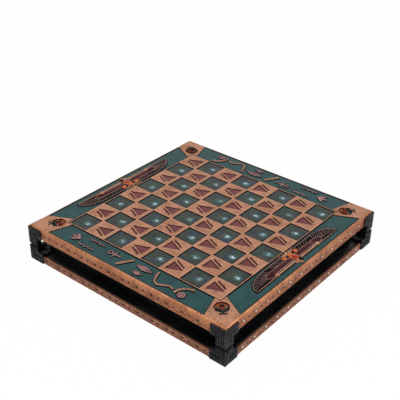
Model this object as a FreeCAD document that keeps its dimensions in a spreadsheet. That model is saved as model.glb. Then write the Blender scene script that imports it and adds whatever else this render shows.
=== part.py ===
import FreeCAD, Part
import math
import os
import Sketcher

# Enamel chessboard: a lift-off board lid on a shallow black storage case.
# Lengths are in millimetres. +X is right, +Y is back, +Z is up.
# The origin is the centre of the footprint, on the surface that the board stands on.

doc = FreeCAD.newDocument("enamel_chessboard")

# Driving dimensions: name, value, what it sets.
SIZES = [
    ("cell_pitch", "35", "side of one square of the playing field, rib included"),
    ("rib_width", "2.7", "copper rib left between two dark cells"),
    ("border_width", "37", "edge of the playing field to the edge of the flat plate"),
    ("rim_width", "0.6", "flat rim outside the side panels"),
    ("face_reach", "2.5", "edge of the flat plate to the face of the bands"),
    ("casting_reach", "2.9", "face of the bands to the outside of the corner castings"),
    ("board_height", "60", "playing surface above the table"),
    ("plate_thickness", "4", "cast plate"),
    ("recess_depth", "1.8", "depth of every enamel recess in the plate"),
    ("enamel_thickness", "0.9", "enamel laid in a recess"),
    ("inlay_clearance", "0.05", "gap all round a piece laid in a recess"),
    ("pyramid_width", "20.5", "base of the pyramid's lit face"),
    ("pyramid_height", "24", "height of the pyramid's lit face"),
    ("pyramid_shift", "1.7", "lit face off the centre of its square"),
    ("side_face_gap", "2.6", "copper ridge between the pyramid's two faces"),
    ("side_face_width", "3.4", "width of the pyramid's narrow face"),
    ("side_face_top", "9", "top of the narrow face above the centre of the square"),
    ("side_face_bottom", "9", "foot of the narrow face below the centre of the square"),
    ("front_block_outer", "30", "corner block along the front rim"),
    ("front_block_inner", "10.5", "corner block along the field, front and back"),
    ("side_block_outer", "34", "corner block along the side rim"),
    ("side_block_inner", "8", "corner block along the field, left and right"),
    ("emblem_setback", "26.5", "centre of a corner emblem in from the plate's edges"),
    ("emblem_sun_radius", "3.4", "sun disc of the corner emblem"),
    ("emblem_arch_inner", "6", "inside radius of the emblem's arch"),
    ("emblem_arch_outer", "9.6", "outside radius of the emblem's arch"),
    ("emblem_leaf_length", "11", "leaf of the emblem"),
    ("emblem_leaf_width", "4.6", "widest part of an emblem leaf"),
    ("lid_board_thickness", "10", "wooden board under the plate"),
    ("upper_band_height", "18", "playing surface to the foot of the upper bands"),
    ("moulding_height", "4.6", "rounded moulding at the top of an upper band"),
    ("bead_reach", "0.8", "bead under the moulding, out from the face"),
    ("bead_height", "1.8", "height of that bead"),
    ("lip_reach", "0.6", "plain lips of the bands, out from the face"),
    ("lip_height", "1.5", "height of a lip"),
    ("lower_band_height", "12", "top of the lower bands above the table"),
    ("band_lift", "0.6", "foot of the lower bands above the table"),
    ("base_board_thickness", "10", "bottom board of the case"),
    ("wall_setback", "18.5", "face of the bands to the outside of the case walls"),
    ("wall_thickness", "8", "case wall"),
    ("lining_thickness", "1.2", "felt in the case and under the lid"),
    ("lining_clearance", "0.5", "gap between the felt and the case walls"),
    ("divider_thickness", "4", "divider of the case"),
    ("divider_height", "26", "divider above the felt"),
    ("divider_clearance", "0.2", "gap at the ends and slots of the dividers"),
    ("pad_radius", "9", "felt foot pad"),
    ("pad_inset", "14", "edge of a pad in from the edges of the base board"),
    ("upper_arm", "26", "arm of an upper corner casting along the edge"),
    ("upper_leg_arm", "16.5", "arm of that casting's leg"),
    ("upper_casting_drop", "3", "playing surface to the top of the upper casting"),
    ("leg_foot_height", "28", "foot of the upper casting's leg above the table"),
    ("skirt_drop", "1", "wide part of the upper casting below its band"),
    ("lower_arm", "26.5", "arm of a lower corner casting along the edge"),
    ("lower_stub_arm", "16.5", "arm of the stub on a lower casting"),
    ("lower_block_height", "17.5", "wide part of the lower casting above the table"),
    ("stub_height", "25.6", "top of the stub above the table"),
    ("leg_thickness", "6.8", "thickness of the castings' legs and stubs"),
    ("casting_relief", "0.6", "raised blocks proud of a casting's face"),
    ("casting_margin", "1.2", "plain edge beside the casting's raised blocks"),
    ("cornice_height", "6.5", "plain cornice at the top of the upper casting"),
    ("bar_width", "1.6", "upright bar on the casting's shoulder"),
    ("bar_gap", "1", "gap between two bars"),
    ("tab_width", "8", "screw tab of a casting, along its edge"),
    ("tab_reach", "14", "screw tab in from the edge of its board"),
    ("tab_thickness", "3", "thickness of a screw tab"),
    ("post_radius", "2.4", "guide post"),
    ("post_setback", "7.2", "guide post in from the face of the bands"),
    ("post_entry", "4", "length of the post inside the lid board"),
    ("post_clearance", "0.3", "radial gap between the post and its bore"),
    ("screw_radius", "1.5", "shank of every screw"),
    ("screw_head_radius", "3", "six-sided head of a screw, across its corners"),
    ("screw_head_height", "1.6", "height of the head"),
    ("screw_length", "13.8", "whole length of a screw"),
    ("screw_clearance", "0.05", "radial gap round a screw"),
    ("wing_span", "198", "winged figure, tip to tip"),
    ("wing_setback", "9", "wings in from the outer edge of their panel"),
    ("wing_margin", "2.05", "wings in from the inner edge of their panel"),
    ("figure_relief", "0.7", "figures above the playing surface"),
    ("feather_width", "3.4", "widest part of a feather"),
    ("sign_relief", "0.5", "side ornaments above the playing surface"),
    ("sign_stroke", "2.6", "stroke of a side ornament"),
]
CELLS = 8

sheet = doc.addObject("Spreadsheet::Sheet", "Sizes")
for row, (alias, number, note) in enumerate(SIZES, start=1):
    sheet.set(f"A{row}", alias)
    sheet.set(f"B{row}", number)
    sheet.setAlias(f"B{row}", alias)
    sheet.set(f"C{row}", note)
doc.recompute()


class Length:
    """A length of the sheet, or one worked out from it: its expression and its value."""

    def __init__(self, text, number):
        self.text = text
        self.number = number

    def joined(self, sign, other, number):
        return Length(f"({self.text} {sign} {other.text})", number)

    def __add__(self, other):
        other = length(other)
        return self.joined("+", other, self.number + other.number)

    def __sub__(self, other):
        other = length(other)
        return self.joined("-", other, self.number - other.number)

    def __mul__(self, other):
        other = length(other)
        return self.joined("*", other, self.number * other.number)

    def __truediv__(self, other):
        other = length(other)
        return self.joined("/", other, self.number / other.number)

    def __neg__(self):
        return Length(f"(0 - {self.text})", -self.number)


def length(value):
    """A plain number as a Length."""
    return value if isinstance(value, Length) else Length(repr(value), value)


def size(alias):
    """One cell of the sheet."""
    return Length(f"Sizes.{alias}", float(sheet.get(alias)))


# Levels and half widths that several pieces share.
pitch = size("cell_pitch")
top = size("board_height")
plate_bottom = top - size("plate_thickness")
lid_bottom = plate_bottom - size("lid_board_thickness")
base_top = size("lower_band_height")
base_bottom = base_top - size("base_board_thickness")
upper_band_foot = top - size("upper_band_height")
enamel_bottom = top - size("recess_depth")
enamel_top = enamel_bottom + size("enamel_thickness")
half_field = pitch * (CELLS / 2)
half_flat = half_field + size("border_width")
half_face = half_flat + size("face_reach")
half_outer = half_face + size("casting_reach")
half_wall = half_face - size("wall_setback")
half_inside = half_wall - size("wall_thickness")
post_place = half_face - size("post_setback")
casting_face = half_outer - size("casting_relief")
ZERO = length(0.0)

nodes = {}


def node(piece, name):
    """Give a finished piece its name and keep it for the files."""
    piece.Label = name
    nodes[name] = piece
    return piece


def bind(piece, name, value):
    """Tie one property to its length."""
    piece.setExpression(name, length(value).text)


def place(piece, x, y, z):
    """Tie the position of a piece to its lengths."""
    for axis, value in zip("xyz", (x, y, z)):
        bind(piece, f"Placement.Base.{axis}", value)


def turn(piece, degrees):
    """Turn a piece about the board's upright axis."""
    piece.Placement = FreeCAD.Placement(
        FreeCAD.Vector(), FreeCAD.Rotation(FreeCAD.Vector(0, 0, 1), degrees))


def turned_copies(source, stem, turns):
    """The same piece at other corners or sides of the board."""
    for name, degrees in turns:
        copy = doc.addObject("Part::Compound", f"{stem}_{name}")
        copy.Links = [source]
        turn(copy, degrees)
        node(copy, f"{stem}_{name}")


def new_body(name, several=False):
    """A body; several says that it holds a group of separate solids."""
    body = doc.addObject("PartDesign::Body", name)
    body.AllowCompound = several
    return node(body, name)


def new_sketch(body, role, offset=ZERO):
    """A sketch on one of the body's own planes, offset along its normal."""
    sketch = body.newObject("Sketcher::SketchObject", f"{body.Name}_sketch")
    plane = next(item for item in body.Origin.OriginFeatures if item.Role == role)
    sketch.AttachmentSupport = [(plane, "")]
    sketch.MapMode = "FlatFace"
    bind(sketch, "AttachmentOffset.Base.z", offset)
    return sketch


def pin_point(sketch, line, end, x, y):
    """Tie one end of a line to its two lengths from the sketch's origin."""
    for kind, value in (("DistanceX", x), ("DistanceY", y)):
        number = sketch.addConstraint(Sketcher.Constraint(kind, -1, 1, line, end, value.number))
        sketch.setExpression(f"Constraints[{number}]", value.text)


def outline(sketch, corners):
    """A closed outline with every corner tied to its lengths."""
    corners = [(length(x), length(y)) for x, y in corners]
    points = [FreeCAD.Vector(x.number, y.number, 0) for x, y in corners]
    first = sketch.GeometryCount
    count = len(points)
    for index in range(count):
        sketch.addGeometry(Part.LineSegment(points[index], points[(index + 1) % count]), False)
    for index in range(count):
        following = first + (index + 1) % count
        sketch.addConstraint(Sketcher.Constraint("Coincident", first + index, 2, following, 1))
    for index, (x, y) in enumerate(corners):
        pin_point(sketch, first + index, 1, x, y)


def rectangle(sketch, x0, x1, y0, y1):
    """A closed rectangle between two pairs of lengths."""
    outline(sketch, [(x0, y0), (x1, y0), (x1, y1), (x0, y1)])


def pad(body, sketch, height, side="One side"):
    feature = body.newObject("PartDesign::Pad", f"{body.Name}_pad")
    feature.Profile = sketch
    feature.SideType = side
    bind(feature, "Length", height)
    return feature


def pocket(body, sketch, depth):
    feature = body.newObject("PartDesign::Pocket", f"{body.Name}_pocket")
    feature.Profile = sketch
    bind(feature, "Length", depth)
    return feature


def grid(body, feature, sketch, step_x, count_x, step_y=ZERO, count_y=1):
    """Repeat a feature along one or both directions of its sketch."""
    pattern = body.newObject("PartDesign::LinearPattern", f"{body.Name}_grid")
    pattern.Originals = [feature]
    pattern.Direction = (sketch, ["H_Axis"])
    bind(pattern, "Length", step_x * (count_x - 1))
    pattern.Occurrences = count_x
    if count_y > 1:
        pattern.Direction2 = (sketch, ["V_Axis"])
        bind(pattern, "Length2", step_y * (count_y - 1))
        pattern.Occurrences2 = count_y
    body.Tip = pattern
    return pattern


def four_corners(body, feature, sketch):
    """Repeat a feature at the four corners of the board."""
    pattern = body.newObject("PartDesign::PolarPattern", f"{body.Name}_corners")
    pattern.Originals = [feature]
    pattern.Axis = (sketch, ["N_Axis"])
    pattern.Occurrences = 4
    body.Tip = pattern
    return pattern


def box(name, x0, x1, y0, y1, z0, z1):
    """A plain block between three pairs of lengths."""
    block = doc.addObject("Part::Box", name)
    x0, x1, y0, y1, z0, z1 = (length(value) for value in (x0, x1, y0, y1, z0, z1))
    bind(block, "Length", x1 - x0)
    bind(block, "Width", y1 - y0)
    bind(block, "Height", z1 - z0)
    place(block, x0, y0, z0)
    return block


def cut(name, base, tool):
    piece = doc.addObject("Part::Cut", name)
    piece.Base = base
    piece.Tool = tool
    return piece


def centre(index):
    """Middle of a row or column of squares, counted from the front left."""
    return pitch * (index + 0.5) - half_field


# Squares of the playing field

def dark_square(sketch, column, row, gap=ZERO):
    """Outline of one dark cell."""
    half = (pitch - size("rib_width")) / 2 - gap
    x, y = centre(column), centre(row)
    rectangle(sketch, x - half, x + half, y - half, y + half)


def lit_face(sketch, column, row, facing, gap=ZERO):
    """Outline of a pyramid's lit face; facing is 1 with the tip to the back, else -1."""
    half = size("pyramid_width") / 2 - gap
    rise = size("pyramid_height") / 2 - gap
    x = centre(column) + size("pyramid_shift") * facing
    y = centre(row)
    outline(sketch, [(x - half, y - rise * facing), (x + half, y - rise * facing),
                     (x, y + rise * facing)])


def side_face(sketch, column, row, facing, gap=ZERO):
    """Outline of the narrow face, parallel to the edge of the lit face."""
    slope = size("pyramid_width") / size("pyramid_height") / 2
    rise = size("pyramid_height") / 2
    near = size("pyramid_shift") - size("side_face_gap")

    def corner(height, inward):
        x = near - slope * (rise - height) - inward
        return centre(column) + x * facing, centre(row) + height * facing

    high = size("side_face_top") - gap
    low = gap - size("side_face_bottom")
    wide = size("side_face_width") - gap
    outline(sketch, [corner(low, wide), corner(low, gap), corner(high, gap), corner(high, wide)])


DARK_STARTS = ((1, 0), (0, 1))
PYRAMID_STARTS = ((((0, 0), (1, 1)), -1), (((0, 4), (1, 5)), 1))


def dark_cells(body, make, level, height, gap=ZERO):
    """All dark cells of a body, as pads or as pockets."""
    sketch = new_sketch(body, "XY_Plane", level)
    for column, row in DARK_STARTS:
        dark_square(sketch, column, row, gap)
    grid(body, make(body, sketch, height), sketch, pitch * 2, 4, pitch * 2, 4)


def pyramid_cells(body, make, level, height, faces, gap=ZERO):
    """All pyramids of a body, as pads or as pockets; their tips point to the nearer long rim."""
    for starts, facing in PYRAMID_STARTS:
        sketch = new_sketch(body, "XY_Plane", level)
        for column, row in starts:
            for face in faces:
                face(sketch, column, row, facing, gap)
        grid(body, make(body, sketch, height), sketch, pitch * 2, 4, pitch * 2, 2)


# Side panels

def panel_corners(side, gap=ZERO):
    """Corners of one side panel's recess, as lengths in the board's plane."""
    outer = half_flat - size("rim_width") - gap
    inner = half_field + size("rib_width") / 2 + gap
    if side in ("front", "back"):
        wide = half_flat - size("front_block_outer") - gap
        narrow = half_field - size("front_block_inner") - gap
    else:
        wide = half_flat - size("side_block_outer") - gap
        narrow = half_field - size("side_block_inner") - gap
    local = [(-wide, outer), (wide, outer), (narrow, inner), (-narrow, inner)]
    placed = {
        "front": lambda along, out: (along, -out),
        "back": lambda along, out: (along, out),
        "left": lambda along, out: (-out, along),
        "right": lambda along, out: (out, along),
    }[side]
    return [placed(along, out) for along, out in local]


SIDES = ("front", "back", "left", "right")


# Corner emblems: a sun under an arch, with two leaves and a keel, on the diagonal

ROUND_SIDES = 16
LENS_STEPS = 3


def flat_piece(points, low, high):
    """An upright prism on a closed outline."""
    face = Part.Face(Part.makePolygon(list(points) + [points[0]]))
    face.translate(FreeCAD.Vector(0, 0, low))
    return face.extrude(FreeCAD.Vector(0, 0, high - low))


def round_points(x, y, radius, start=0, stop=360, sides=ROUND_SIDES):
    """Points on a circle between two angles in degrees, a whole turn without its last point."""
    count = max(2, round(sides * (stop - start) / 360))
    angles = [math.radians(start + (stop - start) * step / count) for step in range(count + 1)]
    points = [FreeCAD.Vector(x + radius * math.cos(angle), y + radius * math.sin(angle), 0)
              for angle in angles]
    return points[:-1] if stop - start == 360 else points


def lens_points(x, y, along, wide, degrees):
    """A pointed oval, centred on a point and turned."""
    turned = FreeCAD.Rotation(FreeCAD.Vector(0, 0, 1), degrees)
    here = FreeCAD.Vector(x, y, 0)
    shares = [step / LENS_STEPS for step in range(-LENS_STEPS, LENS_STEPS)]
    side = [(along / 2 * share, -wide / 2 * (1 - share ** 2)) for share in shares]
    return [here + turned.multVec(FreeCAD.Vector(sign * a, sign * b, 0))
            for sign in (1, -1) for a, b in side]


def emblem_shapes(kind, low, high, gap):
    """The pieces of one kind for the front left corner, before they are turned."""
    middle = -(half_flat - size("emblem_setback")).number
    inner = size("emblem_arch_inner").number
    outer = size("emblem_arch_outer").number
    leaf = size("emblem_leaf_length").number
    wide = size("emblem_leaf_width").number
    if kind == "sun":
        radius = size("emblem_sun_radius").number - gap
        return [flat_piece(round_points(middle, middle, radius), low, high)]
    if kind == "arch":
        rim = round_points(middle, middle, outer - gap, -45 + gap, 135 - gap)
        hollow = round_points(middle, middle, inner + gap, -45 + gap, 135 - gap)
        return [flat_piece(rim + hollow[::-1], low, high)]
    reach = (inner + outer) / 2
    pieces = []
    for side in (-1, 1):
        angle = math.radians(225 + side * 42)
        x = middle + reach * math.cos(angle)
        y = middle + reach * math.sin(angle)
        points = lens_points(x, y, leaf - gap, wide - gap, 225 + side * 42 + 90)
        pieces.append(flat_piece(points, low, high))
    return pieces


def emblem_group(kind, low, high, gap):
    """One kind of emblem piece at all four corners."""
    shapes = []
    for quarter in range(4):
        for shape in emblem_shapes(kind, low, high, gap):
            shape.rotate(FreeCAD.Vector(), FreeCAD.Vector(0, 0, 1), 90 * quarter)
            shapes.append(shape)
    return shapes


EMBLEM_KINDS = ("sun", "arch", "leaf")


def set_shape(name, shape):
    """A piece whose shape comes from the functions above."""
    piece = doc.addObject("Part::Feature", name)
    piece.Shape = shape
    return piece


# Cast plate, with a recess for every enamel

plate_body = doc.addObject("PartDesign::Body", "plate_casting")
plate_sketch = new_sketch(plate_body, "XY_Plane", plate_bottom)
rectangle(plate_sketch, -half_flat, half_flat, -half_flat, half_flat)
pad(plate_body, plate_sketch, size("plate_thickness"))
dark_cells(plate_body, pocket, top, size("recess_depth"))
pyramid_cells(plate_body, pocket, top, size("recess_depth"), (lit_face, side_face))
panel_sketch = new_sketch(plate_body, "XY_Plane", top)
for side in SIDES:
    outline(panel_sketch, panel_corners(side))
plate_body.Tip = pocket(plate_body, panel_sketch, size("recess_depth"))

overshoot = 1.0
emblem_recesses = set_shape("emblem_recesses", Part.makeCompound(
    [shape for kind in EMBLEM_KINDS
     for shape in emblem_group(kind, enamel_bottom.number, top.number + overshoot, 0.0)]))
node(cut("board_plate", plate_body, emblem_recesses), "board_plate")

# Enamels

inlay = size("inlay_clearance")
dark_enamel = new_body("dark_cell_enamel", several=True)
dark_cells(dark_enamel, pad, enamel_bottom, size("enamel_thickness"), inlay)
for name, face in (("pyramid_lit_enamel", lit_face), ("pyramid_side_enamel", side_face)):
    enamel = new_body(name, several=True)
    pyramid_cells(enamel, pad, enamel_bottom, size("enamel_thickness"), (face,), inlay)
for side in SIDES:
    panel = new_body(f"panel_enamel_{side}")
    sketch = new_sketch(panel, "XY_Plane", enamel_bottom)
    outline(sketch, panel_corners(side, inlay))
    pad(panel, sketch, size("enamel_thickness"))
for kind in EMBLEM_KINDS:
    shapes = emblem_group(kind, enamel_bottom.number, enamel_top.number, inlay.number)
    node(set_shape(f"emblem_{kind}_enamel", Part.makeCompound(shapes)), f"emblem_{kind}_enamel")

# Bands: one moulded strip a side, mitred at the corners

upper_profile = [
    (half_flat, upper_band_foot),
    (half_face + size("lip_reach"), upper_band_foot),
    (half_face + size("lip_reach"), upper_band_foot + size("lip_height")),
    (half_face, upper_band_foot + size("lip_height")),
    (half_face, top - size("moulding_height") - size("bead_height")),
    (half_face + size("bead_reach"), top - size("moulding_height") - size("bead_height")),
    (half_face + size("bead_reach"), top - size("moulding_height")),
    (half_face, top - size("moulding_height") * 0.35),
    (half_flat + size("face_reach") * 0.5, top - size("moulding_height") * 0.08),
    (half_flat, top),
]
lower_profile = [
    (half_flat, size("band_lift")),
    (half_face + size("lip_reach"), size("band_lift")),
    (half_face + size("lip_reach"), size("band_lift") + size("lip_height")),
    (half_face, size("band_lift") + size("lip_height")),
    (half_face, base_top - size("lip_height")),
    (half_face + size("lip_reach"), base_top - size("lip_height")),
    (half_face + size("lip_reach"), base_top),
    (half_flat, base_top),
]


def make_band(name, profile):
    """The band of the front."""
    band = new_body(name)
    section = new_sketch(band, "YZ_Plane")
    outline(section, [(-out, height) for out, height in profile])
    pad(band, section, half_outer * 2, "Symmetric")
    mitres = new_sketch(band, "XY_Plane", top + overshoot)
    inner, outer = half_flat - overshoot, half_outer + overshoot
    outline(mitres, [(inner, -inner), (outer, -inner), (outer, -outer)])
    outline(mitres, [(-inner, -inner), (-outer, -outer), (-outer, -inner)])
    band.Tip = pocket(band, mitres, top + overshoot * 2)
    return band


other_sides = (("right", 90), ("back", 180), ("left", 270))
turned_copies(make_band("upper_band_front", upper_profile), "upper_band", other_sides)
turned_copies(make_band("lower_band_front", lower_profile), "lower_band", other_sides)

# Corner castings: angles with raised blocks, a leg above and a stub below


def angle_corners(outer, inner, arm):
    """An angle in plan for the front left corner; arm is measured from the casting's outside."""
    end = arm - half_outer
    return [(-outer, -outer), (end, -outer), (end, -inner), (-inner, -inner),
            (-inner, end), (-outer, end)]


def angle_block(body, outer, inner, arm, low, high):
    sketch = new_sketch(body, "XY_Plane", low)
    outline(sketch, angle_corners(outer, inner, arm))
    return pad(body, sketch, high - low)


def raised_blocks(body, start, wide, low, tall, columns):
    """A row of raised blocks on both outside faces of a corner casting."""
    buried = 0.3
    begin = start - half_outer
    for role in ("XZ_Plane", "YZ_Plane"):
        on_front = role == "XZ_Plane"
        face = casting_face - buried
        sketch = new_sketch(body, role, face if on_front else -face)
        rectangle(sketch, begin, begin + wide, low, low + tall)
        blocks = pad(body, sketch, size("casting_relief") + buried)
        blocks.Reversed = not on_front
        if columns > 1:
            grid(body, blocks, sketch, wide + size("bar_gap"), columns)


def screw_tabs(body, low):
    """The two screw tabs inside a casting, one at the end of each arm."""
    end = size("upper_arm") - half_outer
    start = end - size("tab_width")
    inside = half_flat - size("tab_reach")
    sketch = new_sketch(body, "XY_Plane", low)
    rectangle(sketch, start, end, -half_flat, -inside)
    rectangle(sketch, -half_flat, -inside, start, end)
    pad(body, sketch, size("tab_thickness"))


def round_holes(body, level, depth, places):
    """Round holes cut downwards from a level; places are x, y and radius."""
    sketch = new_sketch(body, "XY_Plane", level)
    for x, y, radius in places:
        x, y, radius = length(x), length(y), length(radius)
        circle = sketch.addGeometry(Part.Circle(
            FreeCAD.Vector(x.number, y.number, 0), FreeCAD.Vector(0, 0, 1), radius.number), False)
        number = sketch.addConstraint(Sketcher.Constraint("Radius", circle, radius.number))
        sketch.setExpression(f"Constraints[{number}]", radius.text)
        pin_point(sketch, circle, 3, x, y)
    feature = pocket(body, sketch, depth)
    body.Tip = feature
    return feature


screw_near = size("tab_reach") / 2 - half_flat
screw_far = size("upper_arm") - size("tab_width") / 2 - half_outer
screw_hole = size("screw_radius") + size("screw_clearance")
upper_casting_top = top - size("upper_casting_drop")
skirt_foot = upper_band_foot - size("skirt_drop")
leg_inner = casting_face - size("leg_thickness")

other_corners = (("front_right", 90), ("back_right", 180), ("back_left", 270))

upper_casting = new_body("upper_corner_front_left")
angle_block(upper_casting, casting_face, half_face + size("bead_reach"), size("upper_arm"),
            skirt_foot, upper_casting_top)
angle_block(upper_casting, casting_face, leg_inner, size("upper_leg_arm"),
            size("leg_foot_height"), upper_band_foot)
angle_block(upper_casting, half_flat, leg_inner, size("upper_arm"), upper_band_foot, lid_bottom)
screw_tabs(upper_casting, lid_bottom - size("tab_thickness"))
raised_blocks(upper_casting, size("casting_relief"), size("upper_arm") - size("casting_relief"),
              upper_casting_top - size("cornice_height"), size("cornice_height"), 1)
raised_blocks(upper_casting, size("casting_margin"),
              size("upper_leg_arm") - size("casting_margin") * 2,
              size("leg_foot_height") + size("casting_margin"),
              upper_casting_top - size("cornice_height") - size("casting_margin") * 2
              - size("leg_foot_height"), 1)
raised_blocks(upper_casting, size("upper_leg_arm") + size("bar_gap"), size("bar_width"),
              skirt_foot + size("casting_margin"),
              upper_casting_top - size("cornice_height") - size("casting_margin") * 2
              - skirt_foot, 3)
round_holes(upper_casting, lid_bottom + overshoot, size("tab_thickness") + overshoot * 2,
            [(screw_far, screw_near, screw_hole)])
turned_copies(upper_casting, "upper_corner", other_corners)

lower_casting = new_body("lower_corner_front_left")
angle_block(lower_casting, casting_face, half_face + size("lip_reach"), size("lower_arm"),
            size("band_lift"), base_top)
angle_block(lower_casting, casting_face, leg_inner, size("lower_arm"), base_top,
            size("lower_block_height"))
angle_block(lower_casting, casting_face, leg_inner, size("lower_stub_arm"),
            size("lower_block_height"), size("stub_height"))
screw_tabs(lower_casting, base_top)
raised_blocks(lower_casting, size("casting_relief"), size("lower_stub_arm") / 2,
              size("band_lift") + size("casting_margin"),
              size("stub_height") - size("band_lift") - size("casting_margin") * 2, 1)
raised_blocks(lower_casting, size("lower_stub_arm") / 2 + size("casting_margin") * 2,
              size("lower_arm") - size("lower_stub_arm") / 2 - size("casting_margin") * 3,
              size("band_lift") + size("casting_margin"),
              size("lower_block_height") - size("band_lift") - size("casting_margin") * 2, 1)
round_holes(lower_casting, base_top + size("tab_thickness") + overshoot,
            size("tab_thickness") + overshoot * 2, [(screw_far, screw_near, screw_hole)])
turned_copies(lower_casting, "lower_corner", other_corners)

# Case: base board, walls, felt and dividers

quarter_turns = (0, 1, 2, 3)


def turned_place(x, y, quarter):
    """A place turned about the board's centre by quarters."""
    for _ in range(quarter):
        x, y = -y, x
    return x, y


screw_places = [turned_place(screw_far, screw_near, quarter) for quarter in quarter_turns]

base = new_body("base_board")
base_sketch = new_sketch(base, "XY_Plane", base_bottom)
rectangle(base_sketch, -half_flat, half_flat, -half_flat, half_flat)
pad(base, base_sketch, size("base_board_thickness"))
round_holes(base, base_top + overshoot, size("base_board_thickness") + overshoot * 2,
            [(x, y, screw_hole) for x, y in screw_places])


def screw_shape(place_of_screw, seat):
    """A six-sided screw from below; its head bears upwards on the level of its seat."""
    x, y = (value.number for value in place_of_screw)
    head = size("screw_head_height").number
    shank = size("screw_radius").number
    whole = size("screw_length").number
    hexagon = round_points(x, y, size("screw_head_radius").number, sides=6)
    block = flat_piece(hexagon, seat.number - head, seat.number)
    shaft = Part.makeCylinder(shank, whole - head - shank, FreeCAD.Vector(x, y, seat.number))
    point = Part.makeCone(shank, shank / 4, shank,
                          FreeCAD.Vector(x, y, seat.number + whole - head - shank))
    return block.multiFuse([shaft, point]).removeSplitter()


def screw_group(name, seat):
    """All screws of one body."""
    shapes = [screw_shape(place_of_screw, seat) for place_of_screw in screw_places]
    node(set_shape(name, Part.makeCompound(shapes)), name)


screw_group("base_casting_screws", base_bottom)

wall_ranges = {
    "front": (-half_wall, half_wall, -half_wall, -half_inside),
    "back": (-half_wall, half_wall, half_inside, half_wall),
    "left": (-half_wall, -half_inside, -half_inside, half_inside),
    "right": (half_inside, half_wall, -half_inside, half_inside),
}
for side, (x0, x1, y0, y1) in wall_ranges.items():
    name = f"wall_{side}"
    node(box(name, x0, x1, y0, y1, base_top, lid_bottom), name)

lining_half = half_inside - size("lining_clearance")
felt_top = base_top + size("lining_thickness")
node(box("floor_lining", -lining_half, lining_half, -lining_half, lining_half,
         base_top, felt_top), "floor_lining")
divider_half = half_inside - size("divider_clearance")
divider_mid = size("divider_thickness") / 2
slot_mid = divider_mid + size("divider_clearance")
divider_top = felt_top + size("divider_height")
slot_level = felt_top + size("divider_height") / 2
node(cut("long_divider",
         box("long_divider_block", -divider_half, divider_half, -divider_mid, divider_mid,
             felt_top, divider_top),
         box("long_divider_slot", -slot_mid, slot_mid, -slot_mid, slot_mid,
             slot_level, divider_top + overshoot)), "long_divider")
node(cut("cross_divider",
         box("cross_divider_block", -divider_mid, divider_mid, -divider_half, divider_half,
             felt_top, divider_top),
         box("cross_divider_slot", -slot_mid, slot_mid, -slot_mid, slot_mid,
             felt_top - overshoot, slot_level)), "cross_divider")

# Foot pads

pads = new_body("foot_pads", several=True)
pad_sketch = new_sketch(pads, "XY_Plane")
pad_place = half_flat - size("pad_inset") - size("pad_radius")
pad_circle = pad_sketch.addGeometry(Part.Circle(
    FreeCAD.Vector(-pad_place.number, -pad_place.number, 0), FreeCAD.Vector(0, 0, 1),
    size("pad_radius").number), False)
pad_number = pad_sketch.addConstraint(
    Sketcher.Constraint("Radius", pad_circle, size("pad_radius").number))
pad_sketch.setExpression(f"Constraints[{pad_number}]", size("pad_radius").text)
pin_point(pad_sketch, pad_circle, 3, -pad_place, -pad_place)
four_corners(pads, pad(pads, pad_sketch, base_bottom), pad_sketch)

# Guide posts: turned posts that stand in the open corners and enter the lid board

posts = new_body("guide_posts", several=True)
post_sketch = new_sketch(posts, "XZ_Plane", post_place)
post_top = lid_bottom + size("post_entry")
crown = size("post_radius") * 0.35
outline(post_sketch, [
    (-post_place, base_top),
    (-post_place + size("post_radius"), base_top),
    (-post_place + size("post_radius"), post_top - crown),
    (-post_place + size("post_radius") - crown, post_top),
    (-post_place, post_top),
])
axis = post_sketch.addGeometry(Part.LineSegment(
    FreeCAD.Vector(-post_place.number, 0, 0),
    FreeCAD.Vector(-post_place.number, top.number, 0)), True)
pin_point(post_sketch, axis, 1, -post_place, ZERO)
pin_point(post_sketch, axis, 2, -post_place, top)
revolved = posts.newObject("PartDesign::Revolution", "post_turning")
revolved.Profile = post_sketch
revolved.ReferenceAxis = (post_sketch, ["Axis0"])
revolved.Angle = 360
corner_sketch = new_sketch(posts, "XY_Plane")
four_corners(posts, revolved, corner_sketch)

# Lid board, its felt and its screws

lid = new_body("lid_board")
lid_sketch = new_sketch(lid, "XY_Plane", lid_bottom)
rectangle(lid_sketch, -half_flat, half_flat, -half_flat, half_flat)
pad(lid, lid_sketch, size("lid_board_thickness"))
lid_post_places = [turned_place(-post_place, -post_place, quarter) for quarter in quarter_turns]
bore_depth = size("post_entry") + size("post_clearance")
round_holes(lid, lid_bottom + bore_depth, bore_depth + overshoot,
            [(x, y, size("post_radius") + size("post_clearance")) for x, y in lid_post_places])
pilot_depth = (size("screw_length") - size("screw_head_height") - size("tab_thickness")
               + size("screw_clearance"))
round_holes(lid, lid_bottom + pilot_depth, pilot_depth + overshoot,
            [(x, y, screw_hole) for x, y in screw_places])
screw_group("lid_casting_screws", lid_bottom - size("tab_thickness"))
node(box("lid_lining", -lining_half, lining_half, -lining_half, lining_half,
         lid_bottom - size("lining_thickness"), lid_bottom), "lid_lining")

# Winged figures on the front and back panels


def feather_points(x, y, degrees, long, wide):
    """A feather from its root, widest near its tip."""
    turned = FreeCAD.Rotation(FreeCAD.Vector(0, 0, 1), degrees)
    local = [(0, -wide * 0.25), (long * 0.72, -wide * 0.5), (long, 0),
             (long * 0.72, wide * 0.5), (0, wide * 0.25)]
    here = FreeCAD.Vector(x, y, 0)
    return [here + turned.multVec(FreeCAD.Vector(a, b, 0)) for a, b in local]


WING_STEPS = 7


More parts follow.
